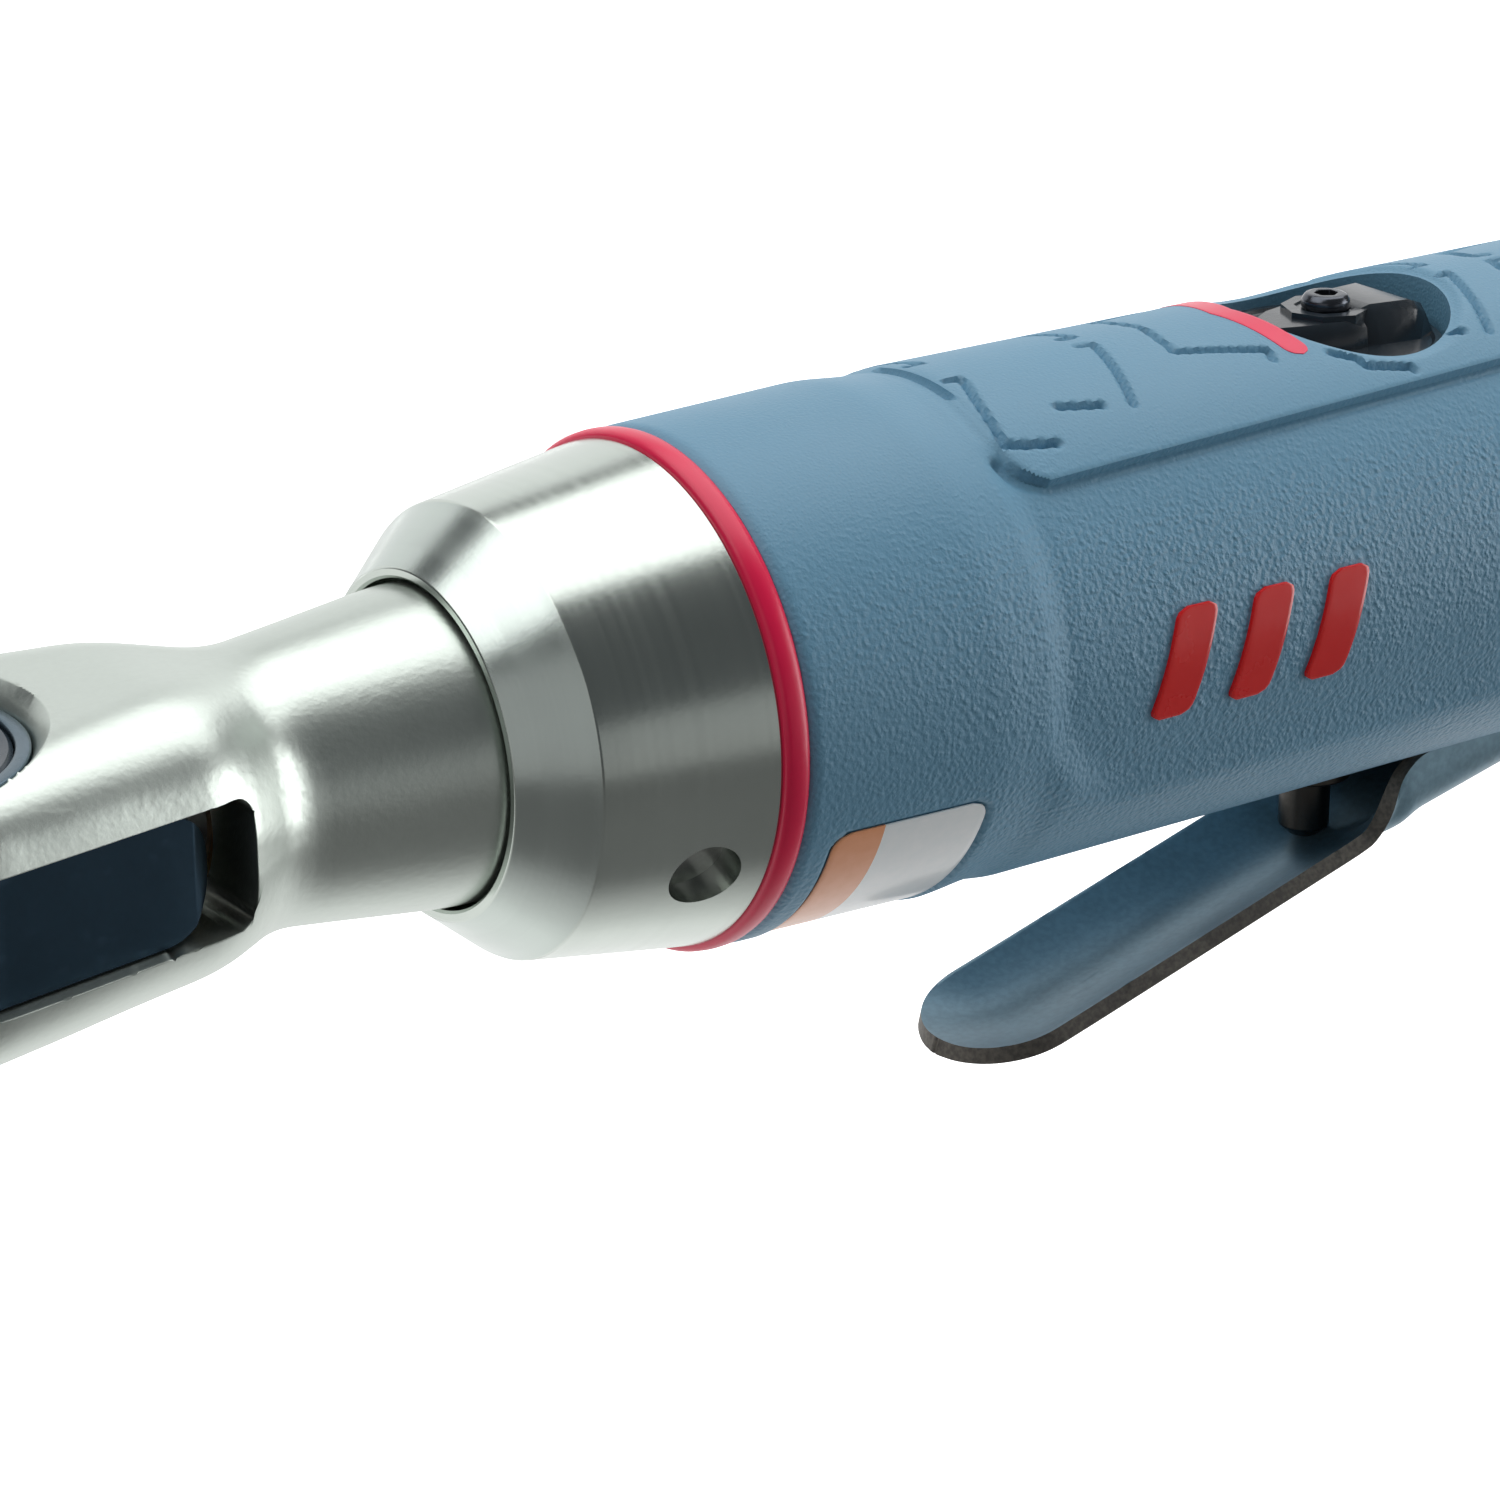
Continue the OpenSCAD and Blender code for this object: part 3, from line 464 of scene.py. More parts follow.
dial = turned("reverse_dial", [
    (10.6, 3.2), (10.8, 3.4), (22.7, 3.4), (22.7, 13.9), (22.95, 14.15), (24.4, 14.15),
    (24.7, 13.8), (24.55, 12.6), (23.9, 10.5), (23.35, 7.5), (23.0, 4.0), (22.9, 1.5)], axis="Z")
settle(dial, black_oxide, "reverse_knob", "black_oxide", "reverse_knob")

clear_selection()
bpy.ops.mesh.primitive_cube_add(size=1, location=(10.6 * MM, 0, 24.1 * MM),
                                scale=(4.2 * MM, 1.5 * MM, 1.9 * MM))
rib = named("dial_rib_0")
bpy.ops.object.transform_apply(location=True, rotation=True, scale=True)
ease_edges(rib, 0.5, segments=4)
for k, angle in ((1, 120), (2, 240)):
    other = bpy.data.objects.new("dial_rib_%d" % k, rib.data.copy())
    bpy.context.scene.collection.objects.link(other)
    other.data.transform(Matrix.Rotation(math.radians(angle), 4, "Z"))
    settle(other, black_oxide, "reverse_knob", "black_oxide")
settle(rib, black_oxide, "reverse_knob", "black_oxide")

# ---- Yoke ----
# A blued steel forging that rocks in the slot: a toothed ring round the anvil and a tail for the crank
# bushing.
# Its outer edges are tumbled round, so that they catch a thin bright line.

yoke = mesh_of_node("rocking_yoke", "ratchet_yoke", edge=0)
YOKE_HALF = 5.4


def outer_rim(a, b):
    level = abs(abs(a.z - TOOL_AXIS) - YOKE_HALF * MM) < 1e-5 and abs(a.z - b.z) < 1e-6
    in_slot = max(abs(a.y), abs(b.y)) < 8.1 * MM and min(a.x, b.x) < 25.6 * MM
    return level and not in_slot and max(a.x, b.x) < 23.7 * MM and min(a.xy.length, b.xy.length) > 15.5 * MM


envelope = block("yoke_envelope", (-30, -30, AXIS_MM - YOKE_HALF), (25.8, 30, AXIS_MM + YOKE_HALF))
pick_edges(envelope, lambda a, b: min(a.x, b.x) > 20 * MM and abs(a.y - b.y) > 1 * MM)
bpy.ops.mesh.bevel(offset=5.0 * MM, segments=10, affect="EDGES")
combine(yoke, "INTERSECT", envelope)
pick_edges(yoke, outer_rim)
bpy.ops.mesh.bevel(offset=0.7 * MM, segments=4, affect="EDGES", clamp_overlap=True)
yoke_blue = metal("yoke_blue", (0.020, 0.046, 0.072), 0.30, spread=0.03, shade=0.15, bump=0.2, metallic=0.85,
                  speck_scale=1300.0, scratches=0.12)
settle(yoke, yoke_blue, "yoke", "black_oxide", "ratchet_yoke")

# ---- Coupling nut ----
# Turned from steel bar and satin nickel plated, with fine feed lines on its front chamfer. It screws the
# head onto the grip; two blind holes take a pin spanner.

feed_lines, given, gives = start_group(
    "feed_lines", [("Vector", "Vector", None), ("Lines Per Metre", "Float", 9000.0)],
    [("Height", "Float"), ("Band", "Float")])
squeeze = place(feed_lines, "SeparateXYZ", {"Vector": given["Vector"]})
count = place(feed_lines, "Math", operation="MULTIPLY")
feed_lines.links.new(squeeze.outputs["X"], count.inputs[0])
feed_lines.links.new(given["Lines Per Metre"], count.inputs[1])
fine = place(feed_lines, "TexNoise", {"W": count.outputs[0], "Scale": 1.0, "Detail": 3.0, "Roughness": 0.7},
             noise_dimensions="1D")
broad_place = place(feed_lines, "Math", {1: 0.12}, operation="MULTIPLY")
feed_lines.links.new(count.outputs[0], broad_place.inputs[0])
broad = place(feed_lines, "TexNoise", {"W": broad_place.outputs[0], "Scale": 1.0, "Detail": 1.0},
              noise_dimensions="1D")
feed_lines.links.new(fine.outputs[0], gives["Height"])
feed_lines.links.new(broad.outputs[0], gives["Band"])


def turned_metal(name, colour, roughness, lines, strength, distance=0.00001):
    """A lathe-turned metal: rings along the tool's axis over the usual wear."""
    material, tree, shader, where = start_material(name, Metallic=1.0)
    marks = use_group(tree, wear, {"Vector": where, "Speck Scale": 1600.0, "Smudge Scale": 50.0})
    rings = use_group(tree, feed_lines, {"Vector": where, "Lines Per Metre": lines})
    tone = levels(tree, marks["Smudge"], 0.9, 1.0)
    streak = levels(tree, rings["Height"], 0.975, 1.0, 0.2, 0.8)
    product = place(tree, "Math", {0: tone.outputs[0], 1: streak.outputs[0]}, operation="MULTIPLY")
    paint = two_tone(tree, product.outputs[0], (0.03, 0.03, 0.032), colour)
    tree.links.new(paint.outputs["Result"], shader.inputs["Base Color"])
    matt = levels(tree, rings["Band"], roughness - 0.015, roughness + 0.015)
    tree.links.new(matt.outputs[0], shader.inputs["Roughness"])
    lathe = place(tree, "Bump", {"Height": rings["Height"], "Strength": strength, "Distance": distance})
    grain = place(tree, "Bump", {"Height": marks["Speck"], "Strength": 0.25, "Distance": 0.00002,
                                 "Normal": lathe.outputs[0]})
    tree.links.new(grain.outputs[0], shader.inputs["Normal"])
    return material


turned_nickel = turned_metal("turned_nickel", (0.61, 0.665, 0.615), 0.23, 9000.0, 0.05)
chamfer_nickel = turned_metal("chamfer_nickel", (0.58, 0.64, 0.60), 0.24, 5200.0, 0.35, 0.00001)

nut = turned("coupling_nut_body", [
    (52.9, 14.3), (52.7, 14.55), (52.7, 15.1), (52.8, 15.3), (55.5, 17.55), (58.2, 19.8), (58.45, 19.95),
    (63, 20.68),
    (68.5, 21.55), (74.2, 22.42), (74.4, 22.35), (74.4, 19.2), (65.6, 19.2), (65.6, 17.4), (58.4, 17.4),
    (58.4, 14.3)], at=(0, 0, AXIS_MM), segments=256, closed=True)
for k, down in ((0, 25), (1, 205)):
    way = Vector((0, -math.cos(math.radians(down)), -math.sin(math.radians(down))))
    spot = Vector((68.5 * MM, 0, TOOL_AXIS)) + way * 21.2 * MM
    clear_selection()
    bpy.ops.mesh.primitive_cylinder_add(vertices=48, radius=3.25 * MM, depth=7.6 * MM, location=spot,
                                        rotation=way.to_track_quat("Z", "Y").to_euler())
    hole = named("spanner_hole_cutter_%d" % k)
    bpy.ops.object.transform_apply(location=True, rotation=True, scale=True)
    cut(nut, hole)
apply_modifier(nut, "BEVEL", width=0.16 * MM, segments=2, limit_method="ANGLE", angle_limit=math.radians(40))
settle(nut, turned_nickel, "frame", "turned_nickel", "coupling_nut", angle=24)
nut.data.materials.append(chamfer_nickel)
for face in nut.data.polygons:
    radius = (face.center.yz - Vector((0, TOOL_AXIS))).length
    if face.center.x < 58.3 * MM and radius > 15.2 * MM:
        face.material_index = 1

# ---- Red ring ----
# A moulded crimson ring with soft, glossy edges. It is slipped over the threaded collar and held between
# the nut and the grip.

pebble, given, gives = start_group(
    "pebble_skin", [("Vector", "Vector", None), ("Size", "Float", 1500.0)],
    [("Height", "Float"), ("Fine", "Float")])
warp = place(pebble, "TexNoise", {"Vector": given["Vector"], "Scale": given["Size"], "Detail": 2.0,
                                  "Roughness": 0.55})
cells = place(pebble, "TexVoronoi", {"Vector": given["Vector"], "Scale": given["Size"], "Randomness": 1.0},
              feature="SMOOTH_F1")
cells.inputs["Smoothness"].default_value = 0.6
mound = place(pebble, "Math", {0: 1.0, 1: cells.outputs["Distance"]}, operation="SUBTRACT")
blend = place(pebble, "Math", {0: mound.outputs[0], 1: warp.outputs[0]}, operation="MULTIPLY")
finer = place(pebble, "Math", {0: given["Size"], 1: 3.1}, operation="MULTIPLY")
grit = place(pebble, "TexNoise", {"Vector": given["Vector"], "Scale": finer.outputs[0], "Detail": 1.0})
pebble.links.new(blend.outputs[0], gives["Height"])
pebble.links.new(grit.outputs[0], gives["Fine"])


def moulded(name, colour, roughness, skin_size=2500.0, skin=0.1, gloss=0.0, shade=0.15, spread=0.05):
    """A moulded plastic: flow variation in colour, a fine skin, handling smudges in the gloss."""
    material, tree, shader, where = start_material(name, Coat_Weight=gloss, Coat_Roughness=0.12)
    marks = use_group(tree, wear, {"Vector": where, "Smudge Scale": 80.0, "Speck Scale": 2200.0})
    skin_marks = use_group(tree, pebble, {"Vector": where, "Size": skin_size})
    paint = two_tone(tree, marks["Smudge"], [c * (1 - shade) for c in colour],
                     [min(1, c * (1 + shade)) for c in colour])
    tree.links.new(paint.outputs["Result"], shader.inputs["Base Color"])
    matt = levels(tree, marks["Smudge"], roughness - spread, roughness + spread)
    tree.links.new(matt.outputs[0], shader.inputs["Roughness"])
    relief = place(tree, "Bump", {"Height": skin_marks["Height"], "Strength": skin, "Distance": 0.0001})
    tree.links.new(relief.outputs[0], shader.inputs["Normal"])
    return material


crimson = moulded("crimson_plastic", (0.78, 0.007, 0.070), 0.34, skin_size=900.0, skin=0.12, gloss=0.05)

ring = turned("red_spacer_ring", [(74.4, 19.2), (74.4, 22.5), (74.55, 22.85), (74.9, 23.08), (75.6, 23.16),
                                  (76.2, 23.14), (76.7, 22.98), (77.0, 22.6), (77.0, 19.2)],
              at=(0, 0, AXIS_MM), segments=256, closed=True)
settle(ring, crimson, "frame", "red_plastic", "red_ring", angle=40)

# ---- Grip housing ----
# Moulded from blue-grey glass-filled composite. The sides are let in about a millimetre behind a soft ledge
# and have a coarse pebble skin; the top panel is smoother, with moulded tread lines, and stands proud of
# the sides.

GRIP_R, WAIST_R = 23.6, 23.25
PANEL_FRONT, PANEL_END = 104.6, 200.0
# The panel's half width in degrees at PANEL_AT, and how much it narrows for each mm towards the rear
PANEL_DEG, PANEL_AT, PANEL_TAPER = 42.6, 108.4, 0.0953
PANEL_HALF, PANEL_CORNER = 17.5, 4.0
POCKET_X, POCKET_R = 153.7, 11.5
# Tread lines on the near half of the top panel, as runs of (x, y) in mm; the far half mirrors them
TREAD_LINES = [
    [(104.6, -4), (104.6, 5.3)],
    [(106.1, 2.8), (107.6, 2.9), (106.3, 6.9), (105.7, 9.7), (105.3, 12.3), (106.8, 12.7), (110.5, 13.2)],
    [(113.2, 9.7), (117.6, 10.5)],
    [(122.3, 1.3), (123.8, 1.4), (122.7, 5.1), (121.7, 8.3), (120.7, 11.1)],
    [(130.7, 0.4), (130.2, 2.8), (129.8, 5.8), (133.2, 6.6), (138.9, 8.2), (138.5, 9.5)],
    [(144.9, 10.2), (147.1, 11.4), (147.4, 12.3), (152.1, 13.3), (152.2, 13.7)],
    [(166.3, 1.9), (167.4, 1.7), (165.9, 6), (164.9, 8.8), (163.7, 11.5)],
    [(159.6, 10.6), (160.9, 10.9)],
    [(174.8, 0.9), (173.5, 1.2), (173.2, 5), (176.5, 6), (181.5, 7.4)],
    [(188, 2), (189.4, 2.2), (188.2, 6.5), (187.6, 9)],
]


def steps(*stretches):
    """Places from stretches (start, end, spacing), each end shared with the next start."""
    places = []
    for start, end, spacing in stretches:
        n = max(1, int(round((end - start) / spacing)))
        places.extend(start + (end - start) * np.arange(n) / n)
    return np.array(places + [stretches[-1][1]])


def rounded_box(u, v, centre, half_u, half_v, radius):
    """Distance outside (+) or inside (-) a rounded rectangle in the unrolled skin."""
    pu = np.abs(u - centre) - (half_u - radius)
    pv = np.abs(v) - (half_v - radius)
    return np.hypot(np.maximum(pu, 0), np.maximum(pv, 0)) + np.minimum(np.maximum(pu, pv), 0) - radius


def run_distance(u, v, run):
    """Distance in the unrolled skin from a tread line's run."""
    nearest = np.full_like(u, 1e9)
    flat = [(x, GRIP_R * math.asin(y / GRIP_R)) for x, y in run]
    for (u0, v0), (u1, v1) in zip(flat, flat[1:]):
        du, dv = u1 - u0, v1 - v0
        t = np.clip(((u - u0) * du + (v - v0) * dv) / (du * du + dv * dv), 0, 1)
        nearest = np.minimum(nearest, np.hypot(u - u0 - t * du, v - v0 - t * dv))
    return nearest


def grip_radius(x):
    """Outer radius before any moulded detail: a slightly barrelled front, a shallow waist, then straight."""
    front = 23.1 + (x - 77) * 0.031
    waist = 23.7 + (WAIST_R - 23.7) * smooth_step((x - 96.4) / 6.5)
    body = WAIST_R + (GRIP_R - WAIST_R) * smooth_step((x - 102.9) / 3.6)
    r = np.where(x < 96.4, front, np.where(x < 102.9, waist, body))
    r = np.where(x > 204, GRIP_R - (x - 204) / 8, r)
    edge = np.clip((1.0 - (x - 77)) / 1.0, 0, 1)
    return r - 0.45 * edge * edge


def grip_depth(x, a):
    """How far the skin is let in at x, at angle a from the top, in mm."""
    v = np.abs(a) * GRIP_R
    panel_half = np.radians(PANEL_DEG - (x - PANEL_AT) * PANEL_TAPER) * GRIP_R
    # stretch v so that the tapering panel becomes a plain rounded box
    scaled = v * PANEL_HALF / panel_half
    d_panel = rounded_box(x, scaled, (PANEL_FRONT + PANEL_END) / 2, (PANEL_END - PANEL_FRONT) / 2, PANEL_HALF,
                          PANEL_CORNER)
    side = rounded_box(x, v, 152, 50.5, 50.2, 12.5)
    recess = 1.1 * smooth_step(-side / 4.2) * smooth_step((v - 11) / 5)
    groove = 1.2 * smooth_step((d_panel + 0.1) / 0.75) * (1 - smooth_step((d_panel - 0.9) / 1.1))
    groove *= np.clip(0.1 + smooth_step((v - 13.2) / 1.6), 0, 1)
    outside = np.maximum(recess, groove)
    depth = np.where(d_panel > 0, outside, 0.12 * smooth_step((d_panel + 0.5) / 0.5))
    for run in TREAD_LINES:
        d = run_distance(x, v, run)
        depth = np.maximum(depth, 0.85 * (1 - smooth_step((d - 0.12) / 0.42)))
    r = grip_radius(x)
    to_pocket = np.where(np.abs(a) < 1.2, np.hypot(x - POCKET_X, r * np.sin(np.abs(a))) - POCKET_R, 99)
    depth = np.maximum(depth, 0.6 * (1 - smooth_step(to_pocket / 1.3)))
    label = rounded_box(x, (math.pi - np.abs(a)) * GRIP_R, 88.5, 8.7, np.radians(71.9) * GRIP_R, 2.4)
    depth = np.maximum(depth, 0.55 * smooth_step(-label / 0.5))
    return depth


clear_selection()
grip_x = steps((77, 79, 0.4), (79, 80.8, 0.3), (80.8, 96.2, 1.0), (96.2, 98, 0.3), (98, 101.5, 0.7),
               (101.5, 170, 0.3), (170, 201, 0.5), (201, 212, 0.8))
grip_a = steps((0, 40.5, 0.8), (40.5, 46, 0.42), (46, 54, 0.9), (54, 105, 2.0), (105, 112, 0.8),
               (112, 180, 2.4))
grip_a = np.radians(np.concatenate([-grip_a[:0:-1], grip_a]))
bpy.ops.mesh.primitive_grid_add(x_subdivisions=len(grip_x) - 1, y_subdivisions=len(grip_a) - 1, size=1)
grip = named("grip_shell")
grid = mesh_points(grip)
gx = grip_x[np.rint((grid[:, 0] + 0.5) * (len(grip_x) - 1)).astype(int)]
ga = grip_a[np.rint((grid[:, 1] + 0.5) * (len(grip_a) - 1)).astype(int)]
# the mesh lines lean with the panel's tapering edge, so that the edge runs clean
lean = (PANEL_DEG - np.clip(gx - PANEL_AT, -4, 92) * PANEL_TAPER) / PANEL_DEG
corner, still = math.radians(46), math.radians(95)
part = np.abs(ga) / corner
ga = np.sign(ga) * np.where(part < 1, np.abs(ga) * lean,
                            np.abs(ga) + corner * (lean - 1) * np.clip((still - np.abs(ga))
                                                                       / (still - corner), 0, 1))
gr = grip_radius(gx) - grip_depth(gx, ga)
grid = np.column_stack([gx, -gr * np.sin(ga), gr * np.cos(ga)]) * MM
grid[:, 2] += TOOL_AXIS
grip.data.vertices.foreach_set("co", grid.ravel())
edit_all(grip)
bpy.ops.mesh.remove_doubles(threshold=0.005 * MM)
bpy.ops.object.mode_set(mode="OBJECT")


def pick_ring(piece, x):
    pick_edges(piece, lambda a, b: abs(a.x - x * MM) < 1e-6 and abs(b.x - x * MM) < 1e-6)


def step_in(x_from, x_to, r_from, r_to):
    """Carries the picked open ring on to another place and radius, as a wall of the bore."""
    bpy.ops.mesh.extrude_region_move(TRANSFORM_OT_translate={"value": ((x_to - x_from) * MM, 0, 0)})
    grow = r_to / r_from
    bpy.ops.transform.resize(value=(1, grow, grow), center_override=(x_to * MM, 0, TOOL_AXIS))


pick_ring(grip, 77)
r0 = float(grip_radius(np.array([77.0]))[0])
for x_from, x_to, r_from, r_to in ((77, 77, r0, 19.2), (77, 84, 19.2, 19.2), (84, 84, 19.2, 17.2),
                                   (84, 129.8, 17.2, 17.2), (129.8, 129.8, 17.2, 11), (129.8, 132.8, 11, 11)):
    step_in(x_from, x_to, r_from, r_to)
bpy.ops.mesh.edge_face_add()
bpy.ops.object.mode_set(mode="OBJECT")
pick_ring(grip, 212)
for x_from, x_to, r_from, r_to in ((212, 212, 22.6, 8.4), (212, 205.6, 8.4, 8.4)):
    step_in(x_from, x_to, r_from, r_to)
bpy.ops.mesh.edge_face_add()
bpy.ops.mesh.select_all(action="SELECT")
bpy.ops.mesh.normals_make_consistent(inside=False)
bpy.ops.object.mode_set(mode="OBJECT")

side_slots = [block("slot_side_cutter_%d" % k, (155.2, side * 7 - 1.7, -20), (161.2, side * 7 + 1.7, 0.4))
              for k, side in enumerate((-1, 1))]
cut(grip,
    turned("valve_bore_cutter", [(-20, 4.5), (2.5, 4.5), (2.5, 6), (8.5, 6), (8.5, 7), (31.5, 7),
                                 (31.5, POCKET_R),
                                 (42, POCKET_R)], axis="Z", at=(POCKET_X, 0, 0), segments=128),
    block("lever_pocket_cutter", (158, -8.7, -20), (208, 8.7, 0.4)), *side_slots)

grip_composite, tree, shader, where = start_material("grip_composite", Coat_Weight=0.0)
marks = use_group(tree, wear, {"Vector": where, "Smudge Scale": 30.0, "Speck Scale": 2600.0})
coarse = use_group(tree, pebble, {"Vector": where, "Size": 1900.0})
fine_skin = use_group(tree, pebble, {"Vector": where, "Size": 3300.0})
axes = place(tree, "SeparateXYZ", {"Vector": where})
# The coarse skin starts below the top panel and behind the front barrel; height and place along the tool
# pick it
by_height = levels(tree, axes.outputs["Z"], 0.0, 1.0, 0.034, 0.026)
by_length = levels(tree, axes.outputs["X"], 0.55, 1.0, 0.080, 0.100)
coarse_part = place(tree, "Math", {0: by_height.outputs[0], 1: by_length.outputs[0]}, operation="MULTIPLY")
skin_height = place(tree, "Mix", {"Factor": coarse_part.outputs[0]}, data_type="FLOAT")
soft_fine = place(tree, "Math", {0: fine_skin["Height"], 1: 0.22}, operation="MULTIPLY")
tree.links.new(soft_fine.outputs[0], skin_height.inputs["A"])
tree.links.new(coarse["Height"], skin_height.inputs["B"])
relief = place(tree, "Bump", {"Height": skin_height.outputs["Result"], "Strength": 1.0, "Distance": 0.0003})
tree.links.new(relief.outputs[0], shader.inputs["Normal"])
tint = two_tone(tree, marks["Smudge"], (0.117, 0.278, 0.405), (0.141, 0.322, 0.465))
dust = levels(tree, coarse["Fine"], 0.0, 0.25, 0.55, 0.75)
tinted = place(tree, "Mix", {"Factor": dust.outputs[0]}, data_type="RGBA")
tree.links.new(tint.outputs["Result"], tinted.inputs["A"])
tinted.inputs["B"].default_value = (0.17, 0.29, 0.37, 1)
tree.links.new(tinted.outputs["Result"], shader.inputs["Base Color"])
matt = levels(tree, marks["Smudge"], 0.42, 0.54)
tree.links.new(matt.outputs[0], shader.inputs["Roughness"])
settle(grip, grip_composite, "frame", "grip_composite", "grip_housing", angle=50, crisp=False)

# ---- Label, stripe and side bars ----
# The label is a printed film in its own shallow bed under the front of the grip: an orange band and a
# silver field, no text. The stripe is moulded in crimson and three plain bars on each side in signal red,
# all set into the skin.


def face_outwards(piece, flip=False):
    """Turns the faces outwards, or turns an open sheet over."""
    edit_all(piece)
    if flip:
        bpy.ops.mesh.flip_normals()
    else:
        bpy.ops.mesh.normals_make_consistent(inside=False)
    bpy.ops.object.mode_set(mode="OBJECT")


def wrapped(name, u_count, v_count, outline, thickness):
    """A thin piece laid on the grip: outline(s, t) gives (x, angle from the top, radius) for s, t in 0..1."""
    clear_selection()
    bpy.ops.mesh.primitive_grid_add(x_subdivisions=u_count, y_subdivisions=v_count, size=1)
    piece = named(name)
    for v in piece.data.vertices:
        x, a, r = outline(v.co.x + 0.5, v.co.y + 0.5)
        v.co = (x * MM, -r * math.sin(a) * MM, r * math.cos(a) * MM + TOOL_AXIS)
    face_outwards(piece)
    middle = piece.data.polygons[len(piece.data.polygons) // 2]
    if middle.normal.dot(middle.center - Vector((middle.center.x, 0, TOOL_AXIS))) < 0:
        face_outwards(piece, flip=True)
    apply_modifier(piece, "SOLIDIFY", thickness=thickness * MM, offset=-1, use_rim=True)
    apply_modifier(piece, "BEVEL", width=min(0.12, thickness * 0.45) * MM, segments=2, limit_method="ANGLE",
                   angle_limit=math.radians(50))
    return piece


def corner_pull(s, half, radius):
    """How far in from its full width a rounded end is, at distance s from the end."""
    if s >= radius:
        return 0.0
    return radius - math.sqrt(max(radius * radius - (radius - s) ** 2, 0))


LABEL_X, LABEL_LONG, LABEL_ARC = 80.4, 16.2, math.radians(141)


def label_outline(s, t):
    arc = LABEL_ARC * GRIP_R
    along_arc = (t - 0.5) * arc
    pull = corner_pull(arc / 2 - abs(along_arc), 7.5, 1.8)
    x = LABEL_X + LABEL_LONG / 2 + (s - 0.5) * (LABEL_LONG - 2 * pull)
    return x, math.pi + along_arc / GRIP_R, 23.0 + (x - 81) * 0.03


label = wrapped("printed_label", 24, 150, label_outline, 0.2)
label_film, tree, shader, where = start_material("label_film", Coat_Weight=0.5, Coat_Roughness=0.15)
marks = use_group(tree, wear, {"Vector": where, "Smudge Scale": 70.0, "Speck Scale": 900.0})
axes = place(tree, "SeparateXYZ", {"Vector": where})
orange = place(tree, "Math", {0: axes.outputs["X"], 1: 0.0856}, operation="LESS_THAN")
silver = two_tone(tree, marks["Speck"], (0.84, 0.90, 0.91), (0.95, 0.97, 0.97))
print_tone = two_tone(tree, marks["Speck"], (0.82, 0.32, 0.14), (0.92, 0.42, 0.22))
printed = place(tree, "Mix", {"Factor": orange.outputs[0]}, data_type="RGBA")
tree.links.new(silver.outputs["Result"], printed.inputs["A"])
tree.links.new(print_tone.outputs["Result"], printed.inputs["B"])
tree.links.new(printed.outputs["Result"], shader.inputs["Base Color"])
matt = levels(tree, marks["Smudge"], 0.3, 0.42)
tree.links.new(matt.outputs[0], shader.inputs["Roughness"])
relief = place(tree, "Bump", {"Height": marks["Speck"], "Strength": 0.1, "Distance": 0.00003})
tree.links.new(relief.outputs[0], shader.inputs["Normal"])
settle(label, label_film, "frame", "label_film", "label", angle=40)

STRIPE_WIDE, STRIPE_HALF = 2.6, 9.7


def stripe_outline(s, t):
    y = (t - 0.5) * 2 * STRIPE_HALF
    pull = corner_pull(STRIPE_HALF - abs(y), STRIPE_WIDE / 2, STRIPE_WIDE / 2)
    x = 140.3 + 1.7 * abs(y) / STRIPE_HALF + (s - 0.5) * (STRIPE_WIDE - 2 * pull)
    return x, math.asin(y / GRIP_R), GRIP_R + 0.06


stripe = wrapped("chevron_stripe", 8, 72, stripe_outline, 0.6)
settle(stripe, crimson, "frame", "red_plastic", "red_stripe", angle=40)

BAR_WIDE, BAR_TALL, BAR_LEAN = 4.6, 10.4, 3.2
bars = []
for side in (1, -1):
    for k in range(3):
        def bar_outline(s, t, k=k, side=side):
            rise = (t - 0.5) * BAR_TALL
            pull = corner_pull(BAR_TALL / 2 - abs(rise), BAR_WIDE / 2, 1.1)
            x = 118 + 9 * k + BAR_LEAN * (t - 0.5) + (s - 0.5) * (BAR_WIDE - 2 * pull)
            return x, side * (math.pi / 2 - (rise + 0.5) / GRIP_R), GRIP_R - 1.1 + 0.38
        bars.append(wrapped("side_bar_%d_%s" % (k, "near" if side > 0 else "far"), 10, 24, bar_outline, 0.6))
signal_red = moulded("signal_red", (0.70, 0.006, 0.005), 0.25, skin_size=900.0, skin=0.12, gloss=0.3)
for k, bar in enumerate(bars):
    settle(bar, signal_red, "frame", "red_plastic", *(["side_bars"] if k == 0 else []), angle=40)

# ---- Power regulator ----
# A glossy black moulded knob in a round pocket on top of the grip: a thin disc, a pointer towards the head
# and a raised finger grip behind it. A blued button screw with a hex socket holds it on the sleeve.

knob_black = moulded("knob_black", (0.014, 0.021, 0.028), 0.24, skin_size=1500.0, skin=0.14, gloss=0.25,
                     shade=0.4)

SCREW_X, DISC_TOP = POCKET_X - 0.3, 32.6

knob = turned("regulator_disc", [(31.7, 10.9), (31.75, 11.1), (33.0, 11.1), (33.3, 10.8), (33.3, 10.2),
                                 (33.0, 9.9), (33.0, 1.2)], axis="Z", at=(POCKET_X, 0, 0), segments=128)


